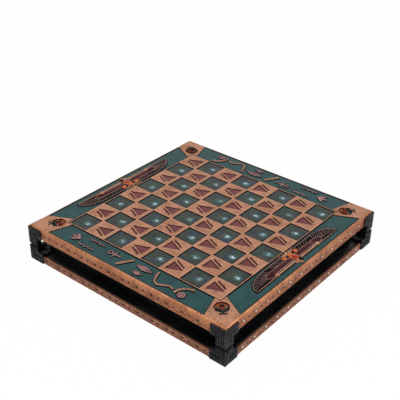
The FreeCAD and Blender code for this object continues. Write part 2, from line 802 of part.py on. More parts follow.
def winged_figure():
    """A falcon with spread wings under its sun, seen from above, for the front panel."""
    low = enamel_top.number
    ground = top.number
    high = ground + size("figure_relief").number
    rim = -(half_flat - size("rim_width")).number
    field = -(half_field + size("rib_width") / 2).number
    half = size("wing_span").number / 2
    edge = rim + size("wing_setback").number
    back_edge = field - size("wing_margin").number
    depth = back_edge - edge
    wide = size("feather_width").number
    body_half = 7.0
    solids = []
    for side in (-1, 1):
        def at(x, y):
            return FreeCAD.Vector(side * x, y, 0)
        tip_shares = [math.radians(90 * step / WING_STEPS) for step in range(WING_STEPS + 1)]
        tip = [at(half * (0.6 + 0.4 * math.cos(angle)), edge + (depth - 1) * math.sin(angle))
               for angle in tip_shares]
        wing = flat_piece([at(body_half - 2, edge)] + tip + [at(body_half - 2, back_edge)],
                          low, ground)
        feathers = []
        wrist = half * 0.5
        for step in range(9):
            angle = math.radians(4 + step * 11)
            reach_x = (half - wrist - 1) * math.cos(angle)
            reach_y = (depth - 3.5) * math.sin(angle)
            long = math.hypot(reach_x, reach_y)
            root = 9.0
            degrees = math.degrees(math.atan2(reach_y, reach_x))
            start = (wrist + root * math.cos(math.radians(degrees)),
                     edge + 2.4 + root * math.sin(math.radians(degrees)))
            turned = degrees if side > 0 else 180 - degrees
            points = feather_points(side * start[0], start[1], turned, long - root, wide)
            feathers.append(flat_piece(points, ground - 0.2, high - 0.3))
        for step in range(9):
            x = body_half + 3 + step * (wrist - body_half - 3) / 8
            points = feather_points(side * x, edge + 7, 90, depth - 8.5, wide)
            feathers.append(flat_piece(points, ground - 0.2, high - 0.3))
        bar = flat_piece([at(body_half - 1, edge + 1), at(wrist + 3, edge + 1.4),
                          at(wrist + 3, edge + 4), at(body_half - 1, edge + 6)],
                         ground - 0.2, high)
        knob = flat_piece(round_points(side * wrist, edge + 2.6, 3.2), ground - 0.2, high)
        solids.append(wing.multiFuse(feathers + [bar, knob]))
    trunk = flat_piece(lens_points(0, edge + depth * 0.42, depth * 1.25, body_half * 2, 90),
                       low, high)
    tail_root = body_half * 0.6
    tail_fan = depth * 0.7
    tail = flat_piece([FreeCAD.Vector(-tail_root, back_edge - 5, 0),
                       FreeCAD.Vector(tail_root, back_edge - 5, 0),
                       FreeCAD.Vector(tail_fan, back_edge + 1, 0),
                       FreeCAD.Vector(-tail_fan, back_edge + 1, 0)], low, high - 0.2)
    sun = flat_piece(round_points(0, rim + 4.6, 4.2), low, high)
    figure = solids[0].multiFuse([solids[1], trunk, tail, sun])
    return figure.removeSplitter()


front_figure = winged_figure()
node(set_shape("winged_figure_front", front_figure), "winged_figure_front")
back_figure = front_figure.copy()
back_figure.rotate(FreeCAD.Vector(), FreeCAD.Vector(0, 0, 1), 180)
node(set_shape("winged_figure_back", back_figure), "winged_figure_back")

# Ornaments on the left and right panels


def ribbon(points, wide):
    """Outline of a stroke of one width along a broken line."""
    left, right = [], []
    for index, point in enumerate(points):
        before = points[max(index - 1, 0)]
        after = points[min(index + 1, len(points) - 1)]
        along = (after - before).normalize()
        across = FreeCAD.Vector(-along.y, along.x, 0) * (wide / 2)
        left.append(point + across)
        right.append(point - across)
    return left + right[::-1]


def side_ornaments():
    """Separate raised ornaments for the left panel, from the back to the front."""
    low = enamel_top.number
    high = top.number + size("sign_relief").number
    stroke = size("sign_stroke").number
    outer = -(half_flat - size("rim_width")).number
    inner = -(half_field + size("rib_width") / 2).number
    middle = (outer + inner) / 2
    lane = (inner - outer) / 4

    def at(across, along):
        return FreeCAD.Vector(middle + across * lane, along, 0)

    def solid(outline_points):
        return flat_piece(outline_points, low, high)

    pieces = []
    lotus_y = 104.0
    for degrees, long in ((90, 17), (58, 15), (122, 15)):
        root = at(0, lotus_y - 8)
        pieces.append(solid(feather_points(root.x, root.y, degrees, long, stroke * 2)))
    lotus = pieces[0].multiFuse(pieces[1:])
    pieces = [lotus]
    for across in (-1, 1):
        teeth = 7
        waves = [at(across + 0.13 * (-1) ** step, 84 - 28 * step / teeth + 6 * (across < 0))
                 for step in range(teeth + 1)]
        pieces.append(solid(ribbon(waves, stroke)))
    ring_y = 40.0
    ring_x = at(0.4, ring_y).x
    ring = solid(round_points(ring_x, ring_y, 4.6)).cut(solid(round_points(ring_x, ring_y, 2.1)))
    stem = solid(ribbon([at(0.4, ring_y - 3.6), at(0.4, ring_y - 20)], stroke))
    arms = solid(ribbon([at(-0.5, ring_y - 8), at(1.3, ring_y - 8)], stroke))
    pieces.append(ring.multiFuse([stem, arms]))
    pieces.append(solid(ribbon([at(-1.3, 16), at(1.2, 2)], stroke * 1.7)))
    pieces.append(solid(lens_points(at(0.55, 0).x, -22, 30, 9.5, 90)))
    loaf = at(-1.0, -20)
    pieces.append(solid(lens_points(loaf.x, loaf.y, 16, 7.5, 90)))
    hook = [at(1.4, -42), at(0.3, -45), at(-0.8, -50), at(-1.1, -57), at(-0.7, -64),
            at(-0.2, -72), at(-0.4, -80)]
    pieces.append(solid(ribbon(hook, stroke * 1.2)))
    disc_y = -96.0
    pieces.append(solid(round_points(at(-0.7, 0).x, disc_y, 6.2)))
    pieces.append(solid(ribbon([at(-0.9, disc_y + 11), at(0.2, disc_y + 9), at(1.0, disc_y + 2),
                                at(1.4, disc_y - 8)], stroke * 1.5)))
    return Part.makeCompound(pieces)


left_ornaments = side_ornaments()
node(set_shape("side_ornaments_left", left_ornaments), "side_ornaments_left")
right_ornaments = left_ornaments.copy()
right_ornaments.rotate(FreeCAD.Vector(), FreeCAD.Vector(0, 0, 1), 180)
node(set_shape("side_ornaments_right", right_ornaments), "side_ornaments_right")

# Build, check and write

doc.recompute()
for item in doc.Objects:
    if "Invalid" in item.State or "Error" in item.State:
        raise RuntimeError(f"{item.Name} failed: {item.State}")
os.makedirs("parts", exist_ok=True)
for name, piece in nodes.items():
    shape = piece.Shape
    if shape.isNull() or not shape.isValid():
        raise RuntimeError(f"{name} has no valid shape")
for name, piece in nodes.items():
    piece.Shape.exportStep(f"parts/{name}.step")
    print(name, len(piece.Shape.Solids), "solids", round(piece.Shape.Volume, 1), "mm3")
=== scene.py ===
import math

import bmesh
import bpy
import numpy as np
from mathutils import Matrix, Vector


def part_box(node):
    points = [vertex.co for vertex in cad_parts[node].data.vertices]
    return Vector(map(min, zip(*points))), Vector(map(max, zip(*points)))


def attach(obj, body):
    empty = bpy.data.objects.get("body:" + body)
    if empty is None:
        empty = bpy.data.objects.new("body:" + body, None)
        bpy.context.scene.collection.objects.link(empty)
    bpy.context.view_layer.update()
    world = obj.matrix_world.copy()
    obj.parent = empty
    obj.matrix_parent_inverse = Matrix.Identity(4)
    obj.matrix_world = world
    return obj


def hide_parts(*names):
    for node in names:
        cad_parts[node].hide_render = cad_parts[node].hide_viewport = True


# The enamelled chessboard on its black storage case. Shapes are worked out in millimetres and
# become metres when their mesh is made. The board's near corner is at -X, -Y.

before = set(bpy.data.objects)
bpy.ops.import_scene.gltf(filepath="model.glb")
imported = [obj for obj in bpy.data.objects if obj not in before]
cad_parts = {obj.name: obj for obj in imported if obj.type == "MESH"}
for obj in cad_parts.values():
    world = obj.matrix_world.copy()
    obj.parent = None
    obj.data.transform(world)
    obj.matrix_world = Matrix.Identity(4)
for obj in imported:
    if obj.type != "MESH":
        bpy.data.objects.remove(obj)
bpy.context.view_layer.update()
MM = 0.001

SIDES = ("front", "right", "back", "left")
CORNERS = ("front_left", "front_right", "back_right", "back_left")
CELL = 35.0
HALF_CELLS = 4.0
FIELD = HALF_CELLS * CELL
HALF_FACE = 179.5
CASTING_GROUND = 181.8
CASTING_OUTSIDE = 182.4
CASTING_DEEP = 181.1
PANEL_FLOOR = 59.1
PLATE_TOP = 60.0


# Nodes


class Wire:
    """One socket of a node tree. Arithmetic on it adds Math nodes."""

    def __init__(self, bench, socket):
        self.bench = bench
        self.socket = socket

    def __add__(self, other):
        return self.bench.math("ADD", self, other)

    def __sub__(self, other):
        return self.bench.math("SUBTRACT", self, other)

    def __rsub__(self, other):
        return self.bench.math("SUBTRACT", other, self)

    def __mul__(self, other):
        return self.bench.math("MULTIPLY", self, other)

    def __truediv__(self, other):
        return self.bench.math("DIVIDE", self, other)

    def __gt__(self, other):
        return self.bench.math("GREATER_THAN", self, other)

    def __lt__(self, other):
        return self.bench.math("LESS_THAN", self, other)

    __radd__ = __add__
    __rmul__ = __mul__


class Bench:
    """The nodes of one finish or of one repeated shape."""

    def __init__(self, tree):
        self.tree = tree

    def add(self, kind, settings=None, values=None, out=0):
        """A node with its settings, then its sockets' values or links, as one of its outputs."""
        made = self.tree.nodes.new(kind)
        for name, value in (settings or {}).items():
            setattr(made, name, value)
        pairs = values.items() if isinstance(values, dict) else enumerate(values or ())
        for key, value in pairs:
            if isinstance(value, Wire):
                self.tree.links.new(value.socket, made.inputs[key])
            else:
                made.inputs[key].default_value = value
        return Wire(self, made.outputs[out]) if len(made.outputs) else None

    def math(self, operation, *values):
        """A Math node that does that to the values."""
        return self.add("ShaderNodeMath", {"operation": operation}, values)


class Finish(Bench):
    """A material whose pattern sits on the piece's own coordinates."""

    def __init__(self, name):
        self.material = bpy.data.materials.new(name)
        self.material.use_nodes = True
        super().__init__(self.material.node_tree)
        self.tree.nodes.clear()
        self.place = self.add("ShaderNodeTexCoord", out="Object")

    def axes(self):
        """The place on the piece in millimetres, as three values."""
        return [self.add("ShaderNodeSeparateXYZ", None, [self.place], out=axis) * 1000
                for axis in range(3)]

    def clouds(self, size, detail=3.0, rough=0.5, where=None):
        """Soft patches about that many millimetres across, from 0 to 1."""
        return self.add("ShaderNodeTexNoise", None,
                        {"Vector": where or self.place, "Scale": 1 / (size * MM),
                         "Detail": detail, "Roughness": rough})

    def fade(self, value, low, high):
        """0 below low, 1 above high, smooth between."""
        return self.add("ShaderNodeMapRange", {"interpolation_type": "SMOOTHSTEP"},
                        [value, low, high, 0.0, 1.0])

    def tint(self, share, first, second):
        """The first colour where share is 0, the second where it is 1."""
        values = {0: share}
        for key, colour in ((6, first), (7, second)):
            values[key] = colour if isinstance(colour, Wire) else (*colour, 1)
        return self.add("ShaderNodeMix", {"data_type": "RGBA"}, values, out=2)

    def relief(self, height, deep, strength=1.0):
        """A bump of that many millimetres."""
        return self.add("ShaderNodeBump", None,
                        {"Height": height, "Distance": deep * MM, "Strength": strength})

    def surface(self, colour, roughness, **sockets):
        """The finished material. Any other socket is named with _ for a space."""
        values = {"Base Color": colour if isinstance(colour, Wire) else (*colour, 1),
                  "Roughness": roughness}
        for name, value in sockets.items():
            values[name.replace("_", " ")] = value
        shader = self.add("ShaderNodeBsdfPrincipled", None, values)
        self.add("ShaderNodeOutputMaterial", None, {"Surface": shader})
        return self.material


# Finishes


# Patina brown: the cast copper's speckle, and also painted shade beside the bands' raised vine lines.
PATINA_AND_SHADE = (0.085, 0.030, 0.018)
# Near black for the bands' vine: painted shadow round the knobs and beside the leaves, and berry pits
# painted black for their patina and shade.
SHADE_BLACK = (0.012, 0.006, 0.005)
# The plate's painted light: black painted as shade on recess walls and in lines along the dark
# squares and the panels, and pale lines painted as highlight along the recess edges and round the
# field.
RECESS_SHADE = (0.007, 0.005, 0.005)
HIGHLIGHT_LINE_GAP = 0.4
SHADE_LINE_GAP = 0.42
BORDER_LINE = 139.6
PANEL_INNER_LINE = (140.3, 142.0)
PANEL_OUTER_LINE = 176.2
PANEL_HALF_LENGTH = 143.5


def toned(colour, gain, lift=0.0):
    """That colour times gain plus lift, no higher than white."""
    return [min(1.0, tone * gain + lift) for tone in colour]


def cast_copper(name, bright, dull, roughness=0.46, specks=0.6, metal=0.6, rubbed_and_shaded=False,
                plate=False):
    """Sand-cast copper: speckled, darker in hollows, paler where handled, with painted shade on
    carved bands and painted highlight and shade lines on the plate.
    """
    mix = Finish(name)
    patches = mix.fade(mix.clouds(22, 4, 0.6), 0.36, 0.66)
    colour = mix.tint(patches, bright, dull)
    blush = mix.fade(mix.clouds(9, 3, 0.6), 0.5, 0.75)
    colour = mix.tint(blush * 0.3, colour, toned(bright, 1.25, 0.03))
    pits = mix.fade(mix.clouds(2.3, 3, 0.62), 0.575, 0.66)
    colour = mix.tint(pits * specks, colour, PATINA_AND_SHADE)
    grain = mix.clouds(0.8, 3, 0.65)
    colour = mix.tint(mix.fade(grain, 0.52, 0.72) * 0.35, colour, PATINA_AND_SHADE)
    holes = mix.fade(mix.clouds(3.4, 2, 0.75), 0.645, 0.675)
    colour = mix.tint(holes * min(1.0, specks * 1.5), colour, toned(PATINA_AND_SHADE, 0.4))
    metallic = metal
    # Carved bands also take painted shade beside their raised lines and round their knobs.
    if rubbed_and_shaded:
        colour = rubbed_and_shaded_relief(mix, colour, bright)
    # The plate takes pale lines as painted highlight, and black as painted shade on its recess walls
    # and beside its dark squares and panels.
    if plate:
        colour, recess_shade = lined_plate(mix, colour, bright, patches)
        metallic = metal + recess_shade * (1 - metal)
    rough = roughness + 0.12 * patches + 0.2 * pits
    relief = mix.relief(grain - pits * 0.8, 0.12, 0.8)
    return mix.surface(colour, rough, Metallic=metallic, Normal=relief)


def rubbed_and_shaded_relief(mix, colour, bright):
    """The colour of carved copper: dark in its grooves beside the raised lines as painted shade,
    black round its knobs as painted shadow, black berry pits for patina and shade, and pale worn
    crests.
    """
    rub_and_shade = mix.add("ShaderNodeAttribute", {"attribute_name": "rub_and_shade"}, out="Fac")
    colour = mix.tint(mix.fade(rub_and_shade, 0.36, 0.14) * 0.8, colour, PATINA_AND_SHADE)
    colour = mix.tint(mix.fade(rub_and_shade, 0.1, 0.02), colour, SHADE_BLACK)
    return mix.tint(mix.fade(rub_and_shade, 0.6, 1.0) * 0.55, colour, toned(bright, 1.3, 0.04))


def lined_plate(mix, colour, bright, patches):
    """The plate's colour with its pale lines painted as highlight and its black painted as shade on
    recess walls and lines, and how far it is painted black.
    """
    x, y, z = mix.axes()
    pale, recess_shade = plate_lines(mix, x, y)
    colour = mix.tint(pale * (0.2 + 0.45 * patches), colour, toned(bright, 1.55, 0.08))
    # Recess walls below the top are painted black as shade.
    below_top = mix.fade(z, PLATE_TOP - 0.04, PLATE_TOP - 0.2)
    recess_shade = mix.math("MAXIMUM", below_top, recess_shade)
    return mix.tint(recess_shade, colour, RECESS_SHADE), recess_shade


def plate_lines(mix, x, y):
    """The plate's lines beside its recesses: how far painted pale as highlight, and how far painted
    black as shade.
    """
    gaps, cells = [], []
    for along in (x, y):
        place = along / CELL + HALF_CELLS
        share = mix.math("FRACT", place)
        gaps.append((0.5 - mix.math("ABSOLUTE", share - 0.5)) * CELL)
        cells.append(mix.math("FLOOR", place))
    gap = mix.math("MINIMUM", gaps[0], gaps[1])
    sides = [mix.math("ABSOLUTE", along) for along in (x, y)]
    reach = mix.math("MAXIMUM", sides[0], sides[1])
    beside_panel = mix.math("MINIMUM", sides[0], sides[1]) < PANEL_HALF_LENGTH
    on_field = reach < FIELD
    dark_cell = mix.math("FRACT", (cells[0] + cells[1]) * 0.5) > 0.25
    # Pale lines painted as highlight beside every square and at the field's border line.
    pale = mix.fade(gap, HIGHLIGHT_LINE_GAP + 0.35, HIGHLIGHT_LINE_GAP) * on_field
    border = mix.fade(mix.math("ABSOLUTE", reach - BORDER_LINE), 0.8, 0.4)
    # Black lines painted as shade beside the dark squares, and along the panels' inner and outer
    # edges.
    recess_shade = mix.fade(gap, SHADE_LINE_GAP, SHADE_LINE_GAP + 0.13) * dark_cell * on_field
    low, high = PANEL_INNER_LINE
    inner = mix.fade(reach, low, low + 0.2) * (reach < high)
    outer = mix.fade(reach, PANEL_OUTER_LINE, PANEL_OUTER_LINE + 0.2) * beside_panel
    recess_shade = mix.math("MINIMUM", recess_shade + (inner + outer) * (1 - on_field), 1.0)
    return mix.math("MINIMUM", pale + border, 1.0), recess_shade


def enamel(name, deep, pale, gloss=0.13, spots=None, tones=()):
    """Poured enamel: glossy, clouded, with a faint ripple."""
    mix = Finish(name)
    swirl = mix.add("ShaderNodeTexNoise", None,
                    {"Vector": mix.place, "Scale": 55.0, "Detail": 4.0, "Roughness": 0.6,
                     "Distortion": 1.2})
    colour = mix.tint(mix.fade(swirl, 0.36, 0.7), deep, pale)
    for index, tone in enumerate(tones):
        drift = mix.add("ShaderNodeTexNoise", {"noise_dimensions": "4D"},
                        {"Vector": mix.place, "W": 3.0 + index * 7.1, "Scale": 85.0, "Detail": 3.0,
                         "Roughness": 0.55, "Distortion": 0.8})
        colour = mix.tint(mix.fade(drift, 0.5, 0.68) * 0.8, colour, tone)
    if spots:
        colour = opal_spots(mix, colour, spots)
    flecks = mix.fade(mix.clouds(0.9, 2, 0.5), 0.68, 0.78)
    colour = mix.tint(flecks * 0.18, colour, toned(pale, 1.8, 0.1))
    ripple = mix.relief(mix.clouds(9, 1, 0.3), 0.12, 0.25)
    rough = 0.06 + 0.10 * flecks + 0.05 * mix.fade(mix.clouds(30, 2), 0.4, 0.7)
    return mix.surface(colour, rough, Normal=ripple, Coat_Weight=0.02, Coat_Roughness=0.04,
                       Specular_IOR_Level=gloss)


def opal_spots(mix, colour, spots):
    """One milky spot a little below the middle of every square of the field."""
    x, y, _ = mix.axes()
    places = [x / CELL + HALF_CELLS, y / CELL + HALF_CELLS]
    cell = mix.add("ShaderNodeCombineXYZ", None, [mix.math("FLOOR", place) for place in places])
    chance = mix.add("ShaderNodeTexWhiteNoise", {"noise_dimensions": "3D"}, [cell], out="Color")
    parts = [mix.add("ShaderNodeSeparateXYZ", None, [chance], out=axis) for axis in range(3)]
    across, along = [(mix.math("FRACT", place) - middle) * CELL + (part - 0.5) * stray
                     for place, middle, part, stray in zip(places, (0.48, 0.38), parts, (2.4, 3.0))]
    smoke = (mix.clouds(6, 4, 0.65) - 0.5) * 11
    reach = mix.math("SQRT", across * across + along * along * 0.7) + smoke
    halo = mix.fade(reach, 8.0, 2.0)
    core = mix.fade(reach, 3.9, 0.4)
    curd = mix.fade(mix.clouds(3.2, 3, 0.6), 0.34, 0.62)
    colour = mix.tint(halo * 0.5, colour, spots[0])
    return mix.tint(core * curd * (0.7 + 0.3 * parts[2]), colour, spots[1])


def gunmetal(name, base, roughness, worn=(0.014, 0.014, 0.0155), gloss=0.10, metal=0.0):
    """Blackened cast metal, a little brighter where it is rubbed."""
    mix = Finish(name)
    patches = mix.fade(mix.clouds(6, 4, 0.65), 0.42, 0.68)
    colour = mix.tint(patches * 0.6, base, worn)
    grain = mix.clouds(0.7, 3, 0.6)
    colour = mix.tint(mix.fade(grain, 0.5, 0.72) * 0.5, colour, (0.002, 0.002, 0.002))
    return mix.surface(colour, roughness + 0.14 * patches, Metallic=metal,
                       Specular_IOR_Level=gloss, Normal=mix.relief(grain, 0.12, 0.8))


def black_lacquer(name):
    """Black satin lacquer over wood, its grain just telling through."""
    mix = Finish(name)
    x, y, z = mix.axes()
    stretched = mix.add("ShaderNodeCombineXYZ", None, [x * MM, y * MM, z * (9 * MM)])
    grain = mix.clouds(7, 4, 0.6, stretched)
    broad = mix.fade(mix.clouds(40, 3, 0.5), 0.4, 0.7)
    colour = mix.tint(broad * 0.6, (0.0022, 0.0022, 0.0024), (0.007, 0.0068, 0.0066))
    colour = mix.tint(mix.fade(grain, 0.5, 0.7) * 0.5, colour, (0.011, 0.0105, 0.010))
    return mix.surface(colour, 0.36 + 0.16 * broad, Normal=mix.relief(grain, 0.08, 0.35),
                       Specular_IOR_Level=0.16)


def pressed_felt(name):
    """Short black felt: matted fibres with paler fuzz."""
    mix = Finish(name)
    fuzz = mix.clouds(0.6, 5, 0.75)
    mats = mix.clouds(6, 3, 0.6)
    colour = mix.tint(mix.fade(fuzz, 0.45, 0.75), (0.006, 0.006, 0.007), (0.035, 0.035, 0.04))
    colour = mix.tint(mix.fade(mats, 0.4, 0.7) * 0.4, colour, (0.02, 0.02, 0.024))
    return mix.surface(colour, 0.95, Normal=mix.relief(fuzz, 0.25, 0.8), Sheen_Weight=0.4,
                       Sheen_Roughness=0.6, Specular_IOR_Level=0.15)


def turned_steel(name, base):
    """Plated steel with fine machining lines."""
    mix = Finish(name)
    lines = mix.clouds(0.35, 2, 0.5)
    colour = mix.tint(mix.fade(lines, 0.4, 0.8) * 0.5, base, toned(base, 0.5))
    return mix.surface(colour, 0.24 + 0.2 * lines, Metallic=1.0,
                       Normal=mix.relief(lines, 0.03, 0.5))


copper_plate = cast_copper("copper_cast", (0.46, 0.215, 0.125), (0.34, 0.15, 0.08), specks=0.7,
                           plate=True)
copper_edge = cast_copper("copper_edge", (0.40, 0.185, 0.10), (0.29, 0.125, 0.064), 0.42, 0.4)
copper_relief = cast_copper("copper_bright", (0.52, 0.25, 0.14), (0.36, 0.15, 0.08), 0.34)
copper_upper = cast_copper("copper_upper_band", (0.50, 0.195, 0.082), (0.335, 0.118, 0.047),
                           0.44, 0.9)
copper_lower = cast_copper("copper_lower_band", (0.39, 0.17, 0.10), (0.27, 0.11, 0.064), 0.48, 0.9)
frieze_upper = cast_copper("copper_upper_frieze", (0.46, 0.168, 0.072), (0.345, 0.112, 0.044),
                           0.44, 0.8, rubbed_and_shaded=True)
frieze_lower = cast_copper("copper_lower_frieze", (0.39, 0.17, 0.105), (0.29, 0.115, 0.068),
                           0.48, 0.8, rubbed_and_shaded=True)
# Near-white copper on the knobs of the front and back bands, a painted glint.
knob_glint = cast_copper("copper_knob", (0.92, 0.84, 0.78), (0.85, 0.72, 0.62), 0.12, 0.1, 1.0)
copper_brown = cast_copper("copper_brown", (0.34, 0.165, 0.085), (0.24, 0.105, 0.055), 0.4)
feather_edge = cast_copper("feather_edge", (0.54, 0.37, 0.33), (0.38, 0.23, 0.20), 0.34, 0.2)
casting_black = gunmetal("gunmetal_cast", (0.003, 0.003, 0.0035), 0.42, (0.012, 0.012, 0.013))
# Paler gunmetal for the castings' rounded edges and small knobs, scrolls and teeth: edge wear and a
# painted highlight.
casting_worn_and_highlit = gunmetal("gunmetal_worn", (0.024, 0.024, 0.027), 0.32, (0.07, 0.07, 0.078), 0.3)
brick_black = gunmetal("gunmetal_brick", (0.008, 0.008, 0.010), 0.26, (0.07, 0.072, 0.084), 0.25)
# Black for the ornaments' dark lines, and also for painted shade: enamel rims in their recesses and
# the shade on the panels round ornaments.
line_black = gunmetal("black_line", (0.0025, 0.0022, 0.0022), 0.5, (0.005, 0.004, 0.004), 0.05)
post_black = gunmetal("gunmetal_polished", (0.07, 0.07, 0.075), 0.18, metal=0.9)
lacquer = black_lacquer("black_wood")
felt = pressed_felt("felt")
steel = turned_steel("screw_steel", (0.42, 0.42, 0.43))
teal_enamel = enamel("enamel_teal", (0.010, 0.046, 0.049), (0.017, 0.068, 0.068))
green_enamel = enamel("enamel_green", (0.022, 0.030, 0.022), (0.042, 0.048, 0.040),
                      spots=((0.075, 0.20, 0.20), (0.62, 0.80, 0.90)),
                      tones=((0.075, 0.055, 0.035), (0.018, 0.070, 0.045), (0.022, 0.035, 0.075)))
plum_enamel = enamel("enamel_plum", (0.125, 0.026, 0.030), (0.175, 0.042, 0.045))
leaf_enamel = enamel("enamel_leaf", (0.006, 0.022, 0.018), (0.02, 0.05, 0.04))
red_enamel = enamel("enamel_red", (0.22, 0.012, 0.010), (0.36, 0.03, 0.02))
orange_enamel = enamel("enamel_orange", (0.50, 0.10, 0.014), (0.68, 0.20, 0.03))
arch_enamel = enamel("enamel_arch", (0.30, 0.035, 0.014), (0.46, 0.10, 0.022))
feather_dark = enamel("feather_brown", (0.004, 0.002, 0.002), (0.012, 0.005, 0.005), gloss=0.02)
feather_red = enamel("feather_red", (0.07, 0.013, 0.015), (0.11, 0.028, 0.027), gloss=0.04)
sign_mauve = enamel("sign_mauve", (0.24, 0.10, 0.108), (0.38, 0.19, 0.19), gloss=0.08)


# Making pieces


def piece_from(mesh, name, finishes, body, slot, *nodes):
    """A piece at rest on its body, with its finishes, standing for those nodes."""
    piece = hold(mesh, name)
    if mesh.materials:
        mesh.materials.clear()
    for finish in finishes:
        mesh.materials.append(finish)
    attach(piece, body)
    if nodes:
        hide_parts(*nodes)
    return piece


def mesh_from(points, faces, name):
    """A mesh in metres from points in millimetres."""
    mesh = bpy.data.meshes.new(name)
    mesh.from_pydata([[part * MM for part in point] for point in points], [], faces)
    mesh.update()
    return mesh


def opened(mesh):
    """A working copy of a mesh."""
    work = bmesh.new()
    work.from_mesh(mesh)
    return work


def mesh_of(work, name):
    """The mesh of a working copy, which is then given up."""
    mesh = bpy.data.meshes.new(name)
    work.to_mesh(mesh)
    work.free()
    return mesh


def joined(parts, name):
    """One mesh of several, their materials' numbers kept."""
    whole = bmesh.new()
    for part in parts:
        whole.from_mesh(part)
    return mesh_of(whole, name)


def quarter_turned(mesh, quarters):
    """A copy turned by quarters about the board's middle."""
    copy = mesh.copy()
    copy.transform(Matrix.Rotation(quarters * math.pi / 2, 4, "Z"))
    return copy


def smooth(mesh, degrees=32):
    """Rounded shading, kept crisp over edges sharper than that."""
    mesh.shade_smooth()
    mesh.set_sharp_from_angle(angle=math.radians(degrees))
    return mesh


def finished_mesh(holder):
    """The mesh of a holder with its modifiers worked in."""
    graph = bpy.context.evaluated_depsgraph_get()
    mesh = bpy.data.meshes.new_from_object(holder.evaluated_get(graph), depsgraph=graph)
    bpy.data.objects.remove(holder)
    return mesh


def hold(mesh, name):
    """An object in the scene that holds the mesh."""
    holder = bpy.data.objects.new(name, mesh)
    bpy.context.scene.collection.objects.link(holder)
    return holder


def whole_solid(node):
    """The node's own shape as one welded working copy with flat faces made whole."""
    work = opened(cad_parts[node].data)
    bmesh.ops.remove_doubles(work, verts=work.verts, dist=2e-6)
    bmesh.ops.dissolve_limit(work, angle_limit=math.radians(0.6), verts=work.verts,
                             edges=work.edges)
    return work


EASED_FROM = math.radians(28)


def eased(work, name, edge):
    """The mesh with its outward edges rounded by that many millimetres. The rounding takes the
    second finish, where the piece has one; on the castings and the side signs that finish is paler, a
    painted highlight."""
    edges = [side for side in work.edges if side.is_manifold and side.is_convex
             and side.calc_face_angle() > EASED_FROM]
    bmesh.ops.bevel(work, geom=edges, offset=edge * MM, offset_type="OFFSET", segments=2,
                    profile=0.5, affect="EDGES", clamp_overlap=False, material=1)
    return smooth(mesh_of(work, name))


def edged_enamel(node, finish, slot, line):
    """Enamel with a black rim of that width painted round its top as the shade of its recess wall, in
    its recess.
    """
    work = whole_solid(node)
    tops = [face for face in work.faces if face.normal.z > 0.9]
    rims = bmesh.ops.inset_individual(work, faces=tops, thickness=line * MM, use_even_offset=True)
    # The rim takes the black finish as painted shade.
    for face in rims["faces"]:
        face.material_index = 1
    bmesh.ops.recalc_face_normals(work, faces=work.faces)
    mesh = smooth(mesh_of(work, node + "_edged"), 20)
    return piece_from(mesh, node + "_piece", [finish, line_black], "lid", slot, node)


def eased_node(node, finishes, body, slot, edge):
    """The node's shape with eased edges, in its place."""
    mesh = eased(whole_solid(node), node + "_eased", edge)
    if len(finishes) == 1:
        mesh.polygons.foreach_set("material_index", [0] * len(mesh.polygons))
    return piece_from(mesh, node + "_piece", finishes, body, slot, node)


# Repeated shapes: marks say where each one stands


def open_tree(name, inputs, result):
    """The bench of a new tree, and the wires of its named inputs."""
    tree = bpy.data.node_groups.new(name, "GeometryNodeTree")
    for label, kind in inputs:
        tree.interface.new_socket(label, in_out="INPUT", socket_type="NodeSocket" + kind)
    tree.interface.new_socket(result, in_out="OUTPUT", socket_type="NodeSocketGeometry")
    bench = Bench(tree)
    return bench, [bench.add("NodeGroupInput", out=index) for index in range(len(inputs))]


def stood_on(bench, points, shape, **how):
    """The held shape on every point, made real."""
    solid = bench.add("GeometryNodeObjectInfo", {"transform_space": "ORIGINAL"},
                      {"Object": shape}, out="Geometry")
    stood = bench.add("GeometryNodeInstanceOnPoints", None,
                      {"Points": points, "Instance": solid, **how})
    return bench.add("GeometryNodeRealizeInstances", None, [stood])


def painted_tree(bench, shape, finish):
    """The whole tree, which ends with the shape in its finish."""
    painted = bench.add("GeometryNodeSetMaterial", None, {"Geometry": shape, "Material": finish})
    bench.add("NodeGroupOutput", None, [painted])
    return bench.tree


def marks_tree():
    """Stands a shape on every mark, turned and stretched as the mark says."""
    bench, (marks, shape, size, finish) = open_tree(
        "shape_on_marks",
        (("Marks", "Geometry"), ("Shape", "Object"), ("Whole size", "Float"), ("Finish", "Material")),
        "Pieces")
    turn, stretch = [bench.add("GeometryNodeInputNamedAttribute", {"data_type": "FLOAT_VECTOR"},
                               [label]) for label in ("turn", "stretch")]
    scaled = bench.add("ShaderNodeVectorMath", {"operation": "SCALE"},
                       {0: stretch, "Scale": size})
    return painted_tree(bench, stood_on(bench, marks, shape, Rotation=turn, Scale=scaled), finish)


def run_tree():
    """Repeats a shape along X and welds each to the next."""
    bench, (_, shape, repeats, pitch, finish) = open_tree(
        "shape_in_a_run",
        (("Line", "Geometry"), ("Shape", "Object"), ("Repeats", "Int"), ("Pitch", "Float"),
         ("Finish", "Material")),
        "Run")
    step = bench.add("ShaderNodeCombineXYZ", None, [pitch, 0.0, 0.0])
    line = bench.add("GeometryNodeMeshLine", {"mode": "OFFSET"},
                     {"Count": repeats, "Offset": step})
    welded = bench.add("GeometryNodeMergeByDistance", None,
                       {"Geometry": stood_on(bench, line, shape), "Distance": 0.01 * MM})
    return painted_tree(bench, welded, finish)


ON_MARKS = marks_tree()
IN_A_RUN = run_tree()


def worked(holder, tree, inputs):
    """The plain mesh that a tree makes from its named inputs."""
    modifier = holder.modifiers.new("repeats", "NODES")
    modifier.node_group = tree
    for item in tree.interface.items_tree:
        if item.name in inputs:
            modifier[item.identifier] = inputs[item.name]
    return finished_mesh(holder)


